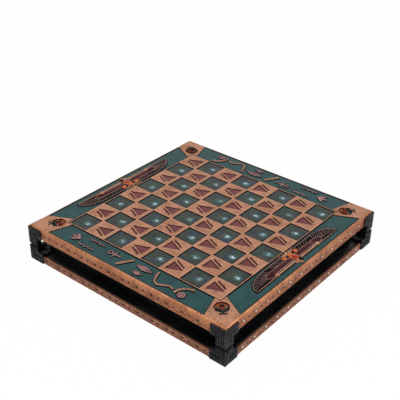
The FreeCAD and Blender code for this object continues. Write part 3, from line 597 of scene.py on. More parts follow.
def on_marks(shape, marks, finish, name):
    """The shape on every mark: (place, turn about each axis in radians, stretch)."""
    mesh = mesh_from([place for place, _, _ in marks], [], name)
    for label, column in (("turn", 1), ("stretch", 2)):
        written = mesh.attributes.new(label, "FLOAT_VECTOR", "POINT")
        for index, mark in enumerate(marks):
            written.data[index].vector = mark[column]
    pattern = hold(shape, name + "_pattern")
    made = worked(hold(mesh, name), ON_MARKS,
                  {"Shape": pattern, "Whole size": 1.0, "Finish": finish})
    bpy.data.objects.remove(pattern)
    for label in ("turn", "stretch"):
        if label in made.attributes:
            made.attributes.remove(made.attributes[label])
    return smooth(made)


def turned_mark(mark, quarter):
    """A mark turned by quarters about the board's middle."""
    (x, y, z), (tilt, roll, turn), stretch = mark
    for _ in range(quarter):
        x, y = -y, x
    return (x, y, z), (tilt, roll, turn + quarter * math.pi / 2), stretch


# Little shapes, one millimetre in size until their mark stretches them


def ring_faces(rings, sides, endless=False):
    """The faces between rings of points that follow each other. Endless, the last ring meets the
    first."""
    faces = []
    for ring in range(rings if endless else rings - 1):
        here, there = ring * sides, (ring + 1) % rings * sides
        for side in range(sides):
            after = (side + 1) % sides
            faces.append((here + side, here + after, there + after, there + side))
    return faces


def chamfered_block():
    """A block one wide (x), one high (z) and one proud (-y), its outer edges sloped."""
    points = []
    for reach, out in ((0.5, 0), (0.5, -0.55), (0.36, -1)):
        points += [(-reach, out, -reach), (reach, out, -reach), (reach, out, reach),
                   (-reach, out, reach)]
    return mesh_from(points, [(8, 9, 10, 11), (3, 2, 1, 0)] + ring_faces(3, 4), "block")


def sloped_stone():
    """A block one across each way with sloped edges, about its own middle."""
    work = bmesh.new()
    bmesh.ops.create_cube(work, size=MM)
    bmesh.ops.bevel(work, geom=work.edges[:], offset=0.2 * MM, offset_type="OFFSET", segments=1,
                    affect="EDGES")
    return mesh_of(work, "stone")


def domed_bead(sides=10, rings=4, steep=90):
    """A cap of base radius one that bulges towards -y, and is that steep at its rim."""
    start = math.radians(90 - steep)
    base = math.cos(start)
    points = []
    for ring in range(rings):
        angle = start + (math.pi / 2 - start) * ring / rings
        for side in range(sides):
            turn = 2 * math.pi * side / sides
            points.append((math.cos(angle) / base * math.cos(turn),
                           -(math.sin(angle) - math.sin(start)) / base,
                           math.cos(angle) / base * math.sin(turn)))
    points.append((0, -(1 - math.sin(start)) / base, 0))
    last = (rings - 1) * sides
    faces = ring_faces(rings, sides)
    faces += [(last + side, last + (side + 1) % sides, len(points) - 1) for side in range(sides)]
    faces.append(tuple(range(sides))[::-1])
    return mesh_from(points, faces, "bead")


FEATHER_PLACES = (0.0, 0.3, 0.6, 0.8, 0.88, 0.94, 0.98, 1.0)
ROUND_TIP = 0.2
FEATHER_INSET = 0.04


def feather_side(root):
    """Places along and half widths of the enamel in a feather one long and one wide. Its root is
    that share of its width."""
    side = []
    for along in FEATHER_PLACES:
        straight = 1 - ROUND_TIP
        half = 0.5 * (root + (1 - root) * min(1.0, along / straight))
        if along > straight:
            half *= math.sqrt(max(0.0, 1 - ((along - straight) / ROUND_TIP) ** 2))
        side.append((along * (1 - FEATHER_INSET * 0.4) + FEATHER_INSET * 0.12,
                     max(half - FEATHER_INSET, 0.01)))
    return side


def feather_inlay(root):
    """The enamel inside a feather, from its foot to its smaller top."""
    foot, top = 0.35, 0.6
    side = feather_side(root)
    loop = [(along, -half) for along, half in side]
    loop += [(along, half) for along, half in reversed(side)]
    count = len(loop)
    points = [(along, across, foot) for along, across in loop]
    points += [(along * 0.92 + 0.04, across * 0.5, top) for along, across in loop]
    faces = ring_faces(2, count)
    faces += [tuple(range(count, 2 * count)), tuple(range(count))[::-1]]
    return mesh_from(points, faces, "feather_inlay")


def turned_shape(profile, sides, name):
    """A shape turned about Z from (radius, level) pairs, closed where the radius is 0."""
    points = []
    for radius, level in profile:
        for side in range(sides):
            turn = 2 * math.pi * (side + 0.5) / sides
            points.append((radius * math.cos(turn), radius * math.sin(turn), level))
    work = opened(mesh_from(points, ring_faces(len(profile), sides), name))
    bmesh.ops.remove_doubles(work, verts=work.verts, dist=1e-6)
    bmesh.ops.holes_fill(work, edges=work.edges)
    bmesh.ops.recalc_face_normals(work, faces=work.faces)
    return mesh_of(work, name)


# Boards, plate, walls and dividers


def plain_pieces():
    """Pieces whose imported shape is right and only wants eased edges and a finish."""
    eased_node("board_plate", [copper_plate], "lid", "copper_cast", 0.25)
    eased_node("lid_board", [lacquer], "lid", "black_wood", 0.4)
    eased_node("base_board", [lacquer], "case", "black_wood", 0.5)
    for side in SIDES:
        eased_node(f"wall_{side}", [lacquer], "case", "black_wood", 0.3)
        edged_enamel(f"panel_enamel_{side}", teal_enamel, "enamel_teal", 1.0)
        eased_node(f"upper_band_{side}", [copper_upper, copper_edge], "lid", "copper_band", 0.36)
        eased_node(f"lower_band_{side}", [copper_lower, copper_upper], "case", "copper_band", 0.25)
    for node in ("long_divider", "cross_divider"):
        eased_node(node, [lacquer], "case", "black_wood", 0.4)
    edged_enamel("dark_cell_enamel", green_enamel, "enamel_green", 0.9)
    edged_enamel("pyramid_lit_enamel", plum_enamel, "enamel_plum", 1.1)
    edged_enamel("pyramid_side_enamel", plum_enamel, "enamel_plum", 0.8)
    edged_enamel("emblem_sun_enamel", red_enamel, "enamel_red", 0.5)
    edged_enamel("emblem_arch_enamel", arch_enamel, "enamel_orange", 0.5)
    edged_enamel("emblem_leaf_enamel", leaf_enamel, "enamel_green", 0.5)


# Vine frieze of the bands


REPEAT = 26.0
REPEATS = 13
FRIEZE_START = -170.0
PHASES = {"front": 0.0, "right": 0.0, "back": 0.0, "left": -7.0}
TILE_STEP = 0.42
BERRY = 12.0
BERRY_HEIGHT = 0.56
BERRY_RING = 2.6
KNOB = BERRY - 11.0
KNOB_HEIGHT = 0.52
KNOB_SHADE = 2.1
LAST_KNOB = 154
LEVEL_RUB = 0.42
LEAVES = (((8.0, 0.86), (13.5, 0.55), 1.0), ((10.8, 0.95), (16.2, 0.70), 0.9),
          ((-9.8, 0.10), (-5.6, 0.36), -0.8), ((5.6, 0.08), (9.6, 0.28), -0.8),
          ((7.2, 0.52), (11.8, 0.38), 0.7))


def nearest_on(line, u, v):
    """Distance of each place to a broken line that comes round again every repeat."""
    best = np.full(u.shape, 1e9)
    for shift in (-REPEAT, 0.0, REPEAT):
        for (ax, ay), (bx, by) in zip(line, line[1:]):
            ax2, bx2 = ax + shift, bx + shift
            dx, dy = bx2 - ax2, by - ay
            share = np.clip(((u - ax2) * dx + (v - ay) * dy) / (dx * dx + dy * dy + 1e-9), 0, 1)
            best = np.minimum(best, np.hypot(u - ax2 - share * dx, v - ay - share * dy))
    return best


def vine_lines(height):
    """The stem, the curl and the leaves of one repeat, each line with its half width, its relief
    and how dark the painted shade beside it is."""
    stem = [(x, height * 0.5 + height * 0.34 * math.cos(2 * math.pi * (x - BERRY) / REPEAT))
            for x in np.linspace(0, REPEAT, 40)]
    curl = []
    for step in range(26):
        share = step / 25
        angle = math.radians(40 - 350 * share)
        radius = 4.4 - 2.3 * share
        curl.append((BERRY + 1.3 * radius * math.cos(angle),
                     height * BERRY_HEIGHT - 0.4 + 0.72 * radius * math.sin(angle)))
    lines = [(stem, 0.72, 0.40, 0.24), (curl, 0.6, 0.36, 0.41)]
    for root, tip, bow in LEAVES:
        leaf = []
        for step in range(7):
            share = step / 6
            leaf.append((BERRY + root[0] + (tip[0] - root[0]) * share,
                         height * (root[1] + (tip[1] - root[1]) * share)
                         + bow * math.sin(math.pi * share)))
        lines.append((leaf, 0.5, 0.30, 0.42))
    return lines


def vine_relief(u, v, height):
    """Relief of one repeat of the vine, and how bright each place is worn, or how dark it is painted
    as shade beside the lines, round the knobs and in the berry pits.
    """
    relief = np.zeros(u.shape)
    rub_and_shade = np.full(u.shape, LEVEL_RUB)
    for line, wide, high, shadow in vine_lines(height):
        away = nearest_on(line, u, v)
        relief = np.maximum(relief, high * np.sqrt(np.clip(1 - (away / wide) ** 2, 0, 1)))
        # A painted shade band along each side of the raised line.
        shade = np.clip(1 - np.abs(away - wide - 0.2) / 0.7, 0, 1)
        rub_and_shade = np.minimum(rub_and_shade, LEVEL_RUB - shadow * np.minimum(shade * 1.5, 1))
    rub_and_shade = np.where(relief > 0.2, 0.45 + relief * 0.7, rub_and_shade)
    for shift in (-REPEAT, 0.0, REPEAT):
        away = np.hypot(u - BERRY - shift, v - height * BERRY_HEIGHT)
        ring = np.clip(1 - np.abs(away - BERRY_RING) / 0.5, 0, 1) * 0.42
        relief = np.where(away < BERRY_RING + 0.5, ring, relief)
        rub_and_shade = np.where(away < BERRY_RING + 1.0, LEVEL_RUB + ring, rub_and_shade)
        # Berry pits painted black, for their patina and their shade.
        rub_and_shade = np.where(away < BERRY_RING - 0.5, 0.0, rub_and_shade)
        away = np.hypot(u - KNOB - shift, v - height * KNOB_HEIGHT)
        # A painted shadow ring round each knob.
        rub_and_shade = np.where(away < KNOB_SHADE, 0.05, rub_and_shade)
    return relief, rub_and_shade


def vine_tile(height):
    """One repeat of the frieze, upright in XZ and facing -Y, with a back but open ends."""
    across = int(round(REPEAT / TILE_STEP))
    up = int(round(height / TILE_STEP))
    u, v = np.meshgrid(np.linspace(0, REPEAT, across + 1), np.linspace(0, height, up + 1))
    relief, rub_and_shade = vine_relief(u, v, height)
    edge = np.clip(np.minimum(v, height - v) / 0.5, 0, 1)
    relief = relief * edge
    points = np.stack([u, -relief - 0.03, v], -1).reshape(-1, 3).tolist()
    back = len(points)
    points += [(x, 0.25, level) for level in (0, height) for x in u[0].tolist()]
    faces = []
    for column in range(across):
        low, high = back + column, back + across + 1 + column
        top = up * (across + 1) + column
        faces += [(low, low + 1, column + 1, column), (top, top + 1, high + 1, high),
                  (high, high + 1, low + 1, low)]
    for row in range(up):
        for column in range(across):
            start = row * (across + 1) + column
            faces.append((start, start + 1, start + across + 2, start + across + 1))
    mesh = mesh_from(points, faces, "vine_tile")
    # The attribute carries wear on the crests and painted shade beside the lines and round the knobs.
    rubbed_and_shaded = mesh.attributes.new("rub_and_shade", "FLOAT", "POINT")
    hidden = np.full(2 * (across + 1), LEVEL_RUB)
    rubbed_and_shaded.data.foreach_set("value", np.append(rub_and_shade.reshape(-1), hidden).astype(np.float32))
    return mesh


def vine_run(height, finish):
    """The vine of one band, its repeats welded and its two ends closed."""
    pattern = hold(vine_tile(height), "vine_pattern")
    seed = mesh_from([(0, 0, 0)], [], "vine_seed")
    run = worked(hold(seed, "vine_run"), IN_A_RUN,
                 {"Shape": pattern, "Repeats": REPEATS, "Pitch": REPEAT * MM, "Finish": finish})
    bpy.data.objects.remove(pattern)
    work = opened(run)
    bmesh.ops.holes_fill(work, edges=work.edges, sides=0)
    return mesh_of(work, "vine_run")


def knob_marks(side, foot, height):
    """Marks of the small knobs between the curls on one side."""
    marks = []
    for repeat in range(1, REPEATS):
        along = FRIEZE_START + PHASES[side] + KNOB + repeat * REPEAT
        if abs(along) < LAST_KNOB:
            mark = ((along, -HALF_FACE, foot + height * KNOB_HEIGHT), (0, 0, 0), (1.5, 1.0, 1.5))
            marks.append(turned_mark(mark, SIDES.index(side)))
    return marks


def friezes():
    """The vine and its knobs along all eight bands."""
    for level, foot, height, body, finish in (("upper", 43.45, 10.2, "lid", frieze_upper),
                                              ("lower", 2.05, 8.5, "case", frieze_lower)):
        run = vine_run(height, finish)
        for quarter, side in enumerate(SIDES):
            mesh = run.copy()
            start = Vector((FRIEZE_START + PHASES[side], -HALF_FACE, foot)) * MM
            mesh.transform(Matrix.Rotation(quarter * math.pi / 2, 4, "Z") @
                           Matrix.Translation(start))
            smooth(mesh, 60)
            piece_from(mesh, f"{level}_frieze_{side}", [finish], body, "copper_band")
        # The front and back knobs take the near-white copper as a painted glint; the side knobs keep
        # the band's copper.
        for sides, shine in ((("front", "back"), knob_glint), (("left", "right"), finish)):
            marks = [mark for side in sides for mark in knob_marks(side, foot, height)]
            name = f"{level}_knobs_{sides[0]}"
            mesh = on_marks(domed_bead(14, 5, 60), marks, shine, name)
            piece_from(mesh, name, [shine], body, "copper_band")


# Corner castings


CASTING_FACES = ("front", "left")
GAP_LOW, GAP_HIGH = 24, 30
BRICK_PROUD = CASTING_OUTSIDE - CASTING_DEEP + 0.1
FOOT_PROUD = BRICK_PROUD - 0.35
STONE_PLACE = CASTING_OUTSIDE - 0.95
LATTICE_LEVELS = [30.9 + 3.35 * row for row in range(6)]
FOOT_STONE_LEVELS = [5.9 + 3.5 * row for row in range(4)] + [20.8, 23.6]
CURL_STEPS = 21


def sunk(work, arm_low, arm_high, low, high):
    """Takes the raised block between those arms and levels back into the casting."""
    for point in work.verts:
        x, y, z = [part / MM for part in point.co]
        if not low < z < high:
            continue
        for axis, (out, along) in enumerate(((x, y), (y, x))):
            arm = CASTING_OUTSIDE - abs(along)
            if abs(out) > CASTING_OUTSIDE - 0.2 and arm_low < arm < arm_high:
                point.co[axis] = math.copysign(CASTING_DEEP * MM, out)


def face_mark(face, arm, level, stretch, tilt=0.0):
    """A mark on one outer face of the front left casting, arm in from the corner."""
    out = stretch[1] - CASTING_OUTSIDE
    along = -CASTING_OUTSIDE + arm
    if face == "front":
        return (along, out, level), (0, tilt, 0), stretch
    return (out, along, level), (0, -tilt, -math.pi / 2), stretch


def all_round(marks):
    """The marks of the front left corner, repeated at all four."""
    return [turned_mark(mark, quarter) for quarter in range(4) for mark in marks]


def upright_curl(face, arm, level):
    """A small scroll standing proud of one outer face of the front left casting."""
    line = []
    for step in range(CURL_STEPS + 1):
        angle = math.radians(-60 + 500 * step / CURL_STEPS)
        radius = 2.5 - 1.7 * step / CURL_STEPS
        line.append((arm - CASTING_OUTSIDE + radius * math.cos(angle),
                     level + radius * math.sin(angle)))
    curl = wire_line(line, 0.75, CASTING_GROUND - 0.3, CASTING_OUTSIDE - 0.05)
    if face == "front":
        curl.transform(Matrix.Rotation(math.pi / 2, 4, "X"))
    else:
        upright_left = Matrix(((0, 0, -1, 0), (1, 0, 0, 0), (0, 1, 0, 0), (0, 0, 0, 1)))
        curl.transform(upright_left)
        curl.flip_normals()
    return curl


def shaded_gap(mesh):
    """The same casting, its rounded edges where leg and stub face each other kept in the dark finish,
    as painted shade in the gap.
    """
    for face in mesh.polygons:
        if GAP_LOW < face.center.z / MM < GAP_HIGH:
            face.material_index = 0
    return mesh


def casting_bodies():
    """The eight castings, with their raised blocks sunk where ornaments stand instead."""
    for corner in CORNERS:
        for part, body, edge, arms, levels in (("upper", "lid", 0.25, (0.6, 16.0), (29, 49.6)),
                                               ("lower", "case", 0.3, (10.0, 26.0), (1.0, 17.0))):
            name = f"{part}_casting_{corner}"
            work = whole_solid(f"{part}_corner_{corner}")
            sunk(work, *arms, *levels)
            mesh = shaded_gap(eased(work, name, edge))
            # The castings' rounded edges take the paler gunmetal as a painted highlight.
            piece_from(mesh, name, [casting_black, casting_worn_and_highlit], body, "gunmetal_cast",
                       f"{part}_corner_{corner}")


def corner_stones(levels, name):
    """Stones at those levels on the four outer corners."""
    marks = [((-STONE_PLACE, -STONE_PLACE, level), (0, 0, 0), (1.9, 1.9, 2.4)) for level in levels]
    return on_marks(sloped_stone(), all_round(marks), brick_black, name)


def brick_lattice():
    """The bricks of the upper castings, every other one swollen, and their corner stones."""
    marks = []
    for face in CASTING_FACES:
        for row, level in enumerate(LATTICE_LEVELS):
            for column in range(4):
                swell = 0.2 * ((row + column) % 2)
                marks.append(face_mark(face, 2.6 + 3.5 * column, level,
                                       (2.5 + swell, BRICK_PROUD - swell, 2.3 + swell)))
    bricks = on_marks(chamfered_block(), all_round(marks), brick_black, "bricks")
    mesh = joined([bricks, corner_stones(LATTICE_LEVELS, "lid_stones")], "lattice_bricks")
    piece_from(mesh, "lattice_bricks", [brick_black], "lid", "gunmetal_cast")


def shoulder_scrolls():
    """The knob and the scroll on each shoulder of the upper castings."""
    knobs = [face_mark(face, 24.4, 45.6, (1.5, 0.75, 1.7)) for face in CASTING_FACES]
    parts = [on_marks(domed_bead(), all_round(knobs), casting_worn_and_highlit, "shoulder_knobs")]
    curls = [upright_curl(face, 20.4, 45.9) for face in CASTING_FACES]
    parts += [quarter_turned(curl, quarter) for quarter in range(4) for curl in curls]
    piece_from(joined(parts, "shoulder_scrolls"), "shoulder_scrolls", [casting_worn_and_highlit], "lid",
               "gunmetal_cast")


def foot_ornaments():
    """The beads, bars, corner stones and teeth of the lower castings."""
    beads, bars, teeth = [], [], []
    for face in CASTING_FACES:
        for step in range(7):
            teeth.append(face_mark(face, 2.2 + 3.6 * step, 1.9, (1.45, 0.75, 1.6)))
        for step in range(3):
            beads.append(face_mark(face, 13.0 + 4.9 * step, 13.8, (2.0, FOOT_PROUD, 2.0)))
        for step in range(4):
            bars.append(face_mark(face, 12.4 + 3.8 * step, 7.9, (1.7, FOOT_PROUD, 5.6), 0.45))
        for step in range(6):
            bars.append(face_mark(face, 2.2 + 2.6 * step, 21.4, (1.6, 0.7, 2.4)))
    parts = [on_marks(domed_bead(), all_round(beads), brick_black, "foot_beads"),
             on_marks(chamfered_block(), all_round(bars), brick_black, "foot_bars"),
             corner_stones(FOOT_STONE_LEVELS, "case_stones")]
    piece_from(joined(parts, "foot_ornaments"), "foot_ornaments", [brick_black], "case",
               "gunmetal_cast")
    mesh = on_marks(domed_bead(), all_round(teeth), casting_worn_and_highlit, "foot_teeth")
    piece_from(mesh, "foot_teeth", [casting_worn_and_highlit], "case", "gunmetal_cast")


# Winged figures and side ornaments


def flat_shape(outline, low, high, edge=0.25):
    """A flat piece with that outline and eased edges."""
    work = bmesh.new()
    below = [work.verts.new((x * MM, y * MM, low * MM)) for x, y in outline]
    above = [work.verts.new((x * MM, y * MM, high * MM)) for x, y in outline]
    count = len(outline)
    work.faces.new(above)
    work.faces.new(below[::-1])
    for side in range(count):
        after = (side + 1) % count
        work.faces.new((below[side], below[after], above[after], above[side]))
    bmesh.ops.recalc_face_normals(work, faces=work.faces)
    return eased(work, "flat_shape", edge)


def wire_line(points, wide, low, high, endless=False):
    """A fine raised line of one width along points, sloped at its sides."""
    count = len(points)
    rows = []
    for index, (x, y) in enumerate(points):
        before = points[index - 1] if endless or index else points[index]
        after = points[(index + 1) % count] if endless or index < count - 1 else points[index]
        along = Vector((after[0] - before[0], after[1] - before[1])).normalized()
        across = Vector((-along.y, along.x))
        for share, level in ((-0.5, low), (-0.28, high), (0.28, high), (0.5, low)):
            rows.append((x + across.x * wide * share, y + across.y * wide * share, level))
    faces = ring_faces(count, 4, endless)
    if not endless:
        faces += [(3, 2, 1, 0), tuple(range(count * 4 - 4, count * 4))]
    work = opened(mesh_from(rows, faces, "wire"))
    bmesh.ops.recalc_face_normals(work, faces=work.faces)
    return smooth(mesh_of(work, "wire_line"))


def bright_line(points, wide, rise, endless=False):
    """A line between feathers that stands that high over the plate."""
    return wire_line(points, wide, PLATE_TOP - 0.2, PLATE_TOP + rise, endless)


def dark_line(points, wide, rise=0.42, endless=False):
    """A dark line on an ornament that stands that high over the plate."""
    return wire_line(points, wide, PLATE_TOP + 0.1, PLATE_TOP + rise, endless)


def panel_shade(outline, wide):
    """The flat dark line on the panel round an ornament."""
    return wire_line(outline, wide, PANEL_FLOOR - 0.1, PANEL_FLOOR + 0.12, True)


def ellipse(x, y, rx, ry, sides):
    """An oval outline about a place."""
    return [(x + rx * math.cos(2 * math.pi * step / sides),
             y + ry * math.sin(2 * math.pi * step / sides)) for step in range(sides)]


def both_wings(outline):
    """The outline on the right wing and the same on the left."""
    return outline, [(-x, y) for x, y in reversed(outline)]


WING_EDGE = -167.4
WING_DEEP = 24.0
WING_HALF = 99.0
INNER_PITCH = 5.6
ORBS = [(side * 13.5, WING_EDGE + 16.5) for side in (1, -1)]
TRUNK_MIDDLE = WING_EDGE + 10.5


def wing_outline(margin=0.0):
    """Outline of the right wing, leading edge first."""
    tip = []
    for step in range(15):
        angle = math.radians(90 * step / 14)
        tip.append((WING_HALF * (0.6 + 0.4 * math.cos(angle)) - margin,
                    WING_EDGE + margin + (WING_DEEP - 1 - 2 * margin) * math.sin(angle)))
    return [(4.0, WING_EDGE + margin)] + tip + [(4.0, WING_EDGE + WING_DEEP - margin)]


def inner_wing():
    """Outline of the small red wing that lies on the roots of the long feathers."""
    end = []
    for step in range(15):
        angle = math.radians(-90 + 180 * step / 14)
        end.append((54 + 12.5 * math.cos(angle), WING_EDGE + 8.1 + 5.3 * math.sin(angle)))
    return [(6.0, WING_EDGE + 5.5), (44.0, WING_EDGE + 5.2)] + end + [
        (26.0, WING_EDGE + 13.9), (6.0, WING_EDGE + 12.9)]


def feather_marks():
    """Marks of the right wing: the fan of outer feathers and the inner feathers."""
    wrist = WING_HALF * 0.5
    outer, inner = [], []
    for step in range(9):
        angle = math.radians(4 + 90 * step / 8)
        tip = (WING_HALF * (0.6 + 0.39 * math.cos(angle)),
               WING_EDGE + 1.4 + (WING_DEEP - 2.6) * math.sin(angle))
        root = (wrist + 3.5 + 5 * math.cos(angle), WING_EDGE + 4.2 + 3.5 * math.sin(angle))
        dx, dy = tip[0] - root[0], tip[1] - root[1]
        outer.append(((*root, PLATE_TOP - 0.25), (0, 0, math.atan2(dy, dx)),
                      (math.hypot(dx, dy), 5.6, 0.75)))
    for step in range(7):
        x = 6.0 + step * INNER_PITCH
        lean = math.radians(56 - 3 * step)
        inner.append(((x, WING_EDGE + 12.0, PLATE_TOP - 0.25), (0, 0, lean),
                      ((WING_DEEP - 13.5) / math.sin(lean), 5.2 * math.sin(lean), 0.7)))
    return outer, inner


def feather_lines():
    """Fine bright lines of the right wing: its edge, the inner wing's edge and between feathers."""
    centre = (WING_HALF * 0.5 + 4.5, WING_EDGE + 5.0)
    lines = [bright_line(wing_outline(1.5)[1:], 0.6, 0.45),
             bright_line(inner_wing(), 0.55, 0.5, True),
             bright_line([(7.0, WING_EDGE + 4.6), (46.0, WING_EDGE + 4.3)], 0.5, 0.5)]
    for step in range(8):
        angle = math.radians(10 + 90 * step / 8)
        root = (centre[0] + 12.5 * math.cos(angle), centre[1] + 8.6 * math.sin(angle))
        tip = (WING_HALF * (0.6 + 0.4 * math.cos(angle)) - 1.5,
               WING_EDGE + 1.5 + (WING_DEEP - 4) * math.sin(angle))
        lines.append(bright_line([root, tip], 0.34, 0.5))
    for step in range(6):
        lean = math.radians(55 - 3 * step)
        x, y = 8.8 + step * INNER_PITCH, WING_EDGE + 13.6
        deep = WING_DEEP - 15.4
        lines.append(bright_line([(x, y), (x + deep / math.tan(lean), y + deep)], 0.34, 0.45))
    return lines


def inner_lines():
    """Dark lines on the right inner wing: two along it, and the short feathers of its round end."""
    lines = [dark_line([(8.0, WING_EDGE + low), (40.0, WING_EDGE + high)], 0.7)
             for low, high in ((8.0, 7.8), (10.4, 10.6))]
    for step in range(7):
        angle = math.radians(-42 + 160 * step / 6)
        near = (49.0 + 4.0 * math.cos(angle), WING_EDGE + 7.6 + 1.6 * math.sin(angle))
        far = (54 + 11.2 * math.cos(angle * 0.9), WING_EDGE + 8.1 + 4.4 * math.sin(angle * 0.9))
        lines.append(dark_line([near, far], 0.8))
    return lines


def both_sides(marks):
    """The marks of the right wing and the same on the left."""
    mirror = [((-x, y, z), (0, 0, math.pi - turn), stretch)
              for (x, y, z), (_, _, turn), stretch in marks]
    return marks + mirror


def across_middle(mesh):
    """The same shape on the other wing."""
    copy = mesh.copy()
    copy.transform(Matrix.Diagonal((-1, 1, 1, 1)))
    copy.flip_normals()
    return copy


def wing_border():
    """The dark line round each wing and its shade on the panel."""
    border = [wire_line(outline, 1.5, PANEL_FLOOR, PLATE_TOP + 0.3, True)
              for outline in both_wings(wing_outline(0.5))]
    return border + [panel_shade(outline, 2.2) for outline in both_wings(wing_outline())]


def wing_bars():
    """The copper bar along each leading edge: the arm, the round wrist and the hand."""
    bars = []
    for side in (1, -1):
        arm = [(side * 6, WING_EDGE + 0.4), (side * 51, WING_EDGE + 0.6),
               (side * 51, WING_EDGE + 3.0), (side * 6, WING_EDGE + 3.4)]
        wrist = ellipse(side * 49.5, WING_EDGE + 2.8, 3.4, 3.2, 20)
        hand = [(side * 51, WING_EDGE + 0.2), (side * 97, WING_EDGE + 0.4),
                (side * 97, WING_EDGE + 1.1), (side * 51, WING_EDGE + 1.6)]
        for outline, rise, edge in ((arm, 0.65, 0.5), (wrist, 0.68, 0.6), (hand, 0.4, 0.3)):
            bars.append(flat_shape(outline, PLATE_TOP - 0.4, PLATE_TOP + rise, edge))
    return bars


def head_and_beak():
    """The copper head, which looks to the left, and its beak."""
    beak = [(-5.2, WING_EDGE + 0.2), (-4.6, WING_EDGE - 4.4), (-10.2, WING_EDGE - 1.8),
            (-9.0, WING_EDGE + 0.4)]
    return [flat_shape(ellipse(-1.0, WING_EDGE - 1.4, 5.2, 5.6, 22), PANEL_FLOOR,
                       PLATE_TOP + 0.35, 0.6),
            flat_shape(beak, PANEL_FLOOR, PLATE_TOP + 0.3, 0.3)]


def tail_fan():
    """The five copper feathers of the tail."""
    root, tip = WING_EDGE + WING_DEEP - 6, WING_EDGE + WING_DEEP + 0.8
    tail = []
    for step in range(5):
        share = (step - 2) / 2
        outline = [(share * 5 - 1.0, root), (share * 5 + 1.0, root),
                   (share * 15 + 2.6, tip), (share * 15 - 2.6, tip)]
        tail.append(flat_shape(outline, PANEL_FLOOR, PLATE_TOP + 0.3 - 0.1 * abs(share), 0.35))
    return tail


def dark_grounds():
    """The cap and the eye, and the dark rims of the two orbs and the trunk."""
    grounds = [flat_shape(ellipse(1.6, WING_EDGE - 1.0, 2.6, 4.6, 20), PLATE_TOP,
                          PLATE_TOP + 0.5, 0.3),
               flat_shape(ellipse(-3.0, WING_EDGE - 2.4, 1.2, 1.1, 14), PLATE_TOP,
                          PLATE_TOP + 0.6, 0.2)]
    grounds += [flat_shape(ellipse(x, y, 4.9, 4.7, 24), PANEL_FLOOR, PLATE_TOP + 0.3, 0.4)
                for x, y in ORBS]
    trunk = ellipse(0, TRUNK_MIDDLE, 6.4, 10.2, 28)
    return grounds + [flat_shape(trunk, PANEL_FLOOR, PLATE_TOP + 0.2, 0.4)]


def trunk_and_orbs():
    """The orange enamel of the trunk and of the orb on each side of it."""
    trunk = ellipse(0, TRUNK_MIDDLE, 5.6, 9.4, 26)
    return [flat_shape(trunk, PLATE_TOP, PLATE_TOP + 0.5, 0.4)] + [
        flat_shape(ellipse(x, y, 3.8, 3.6, 22), PLATE_TOP, PLATE_TOP + 0.6, 0.4) for x, y in ORBS]


def winged_figures():
    """A falcon with spread wings on the front panel, and the same turned round at the back."""
    outer, inner = feather_marks()
    feathers = [on_marks(feather_inlay(0.1), both_sides(outer), feather_dark, "outer"),
                on_marks(feather_inlay(0.6), both_sides(inner), feather_dark, "inner")]
    feathers += [flat_shape(outline, PANEL_FLOOR, PLATE_TOP - 0.2)
                 for outline in both_wings(wing_outline(0.4))]
    bright = joined(feather_lines(), "feather_lines")
    dark = joined(inner_lines(), "inner_lines")
    outlines = wing_border() + dark_grounds() + [dark, across_middle(dark)]
    coverts = [flat_shape(outline, PLATE_TOP - 0.3, PLATE_TOP + 0.25)
               for outline in both_wings(inner_wing())]
    breast = flat_shape(ellipse(0, WING_EDGE + 8.5, 3.6, 5.6, 24), PLATE_TOP, PLATE_TOP + 0.68, 0.3)
    copper = joined(wing_bars() + head_and_beak() + tail_fan(), "wing_copper")
    fills = (("rims", [bright, across_middle(bright)], feather_edge, "copper_bright"),
             ("feathers", feathers, feather_dark, "copper_bright"),
             ("outlines", outlines, line_black, "copper_bright"),
             ("coverts", coverts, feather_red, "copper_bright"),
             ("trunk", trunk_and_orbs(), orange_enamel, "enamel_orange"),
             ("breast", [breast], red_enamel, "enamel_red"))
    for where, quarters in (("front", 0), ("back", 2)):
        piece_from(quarter_turned(copper, quarters), f"winged_copper_{where}", [copper_relief],
                   "lid", "copper_bright", f"winged_figure_{where}")
        for kind, parts, finish, slot in fills:
            mesh = quarter_turned(joined(parts, kind), quarters)
            piece_from(mesh, f"winged_{kind}_{where}", [finish], "lid", slot)


# Sides, rounded edges, sunk faces and bare faces
SIGN_FINISHES = [line_black, feather_edge, sign_mauve, copper_brown]
LENS = (-154.06, -22.0)
RAYED_RING = (-165.0, -96.0)
STROKE_X = -167.64


def bare_copper(x, y):
    """True where a left ornament is plain copper: the bar, the hook and the bowed stroke."""
    return 0 < y < 18 or -82 < y < -40 or (-106 < y < -84 and x > -160)


def sign_pieces(side, sign):
    """One side's raised ornaments: dark edges round a sunk mauve face, or plain browned copper, with
    pale rounded edges as a painted highlight and a painted shadow line on the panel round each.
    """
    work = whole_solid(f"side_ornaments_{side}")
    soles = [[(point.co.x / MM, point.co.y / MM) for point in face.verts]
             for face in work.faces if face.normal.z < -0.9]
    # A flat black line on the panel round each ornament, painted as its shadow.
    shade = joined([panel_shade(sole, 2.7) for sole in soles], "sign_shade")
    piece_from(shade, f"sign_grooves_{side}", [line_black], "lid", "copper_bright")
    tops = [face for face in work.faces if face.normal.z > 0.9
            and face.calc_center_median().z > (PLATE_TOP + 0.2) * MM]
    inlaid = []
    for face in tops:
        middle = face.calc_center_median() * (sign / MM)
        if bare_copper(middle.x, middle.y):
            face.material_index = SIGN_FINISHES.index(copper_brown)
        else:
            inlaid.append(face)
    bmesh.ops.inset_individual(work, faces=inlaid, thickness=0.55 * MM, depth=-0.25 * MM,
                               use_even_offset=True)
    for face in inlaid:
        face.material_index = SIGN_FINISHES.index(sign_mauve)
    # The rounded edges take the pale copper as a painted highlight.
    mesh = eased(work, f"side_signs_{side}", 0.14)
    piece_from(mesh, f"side_signs_{side}", SIGN_FINISHES, "lid", "copper_bright",
               f"side_ornaments_{side}")


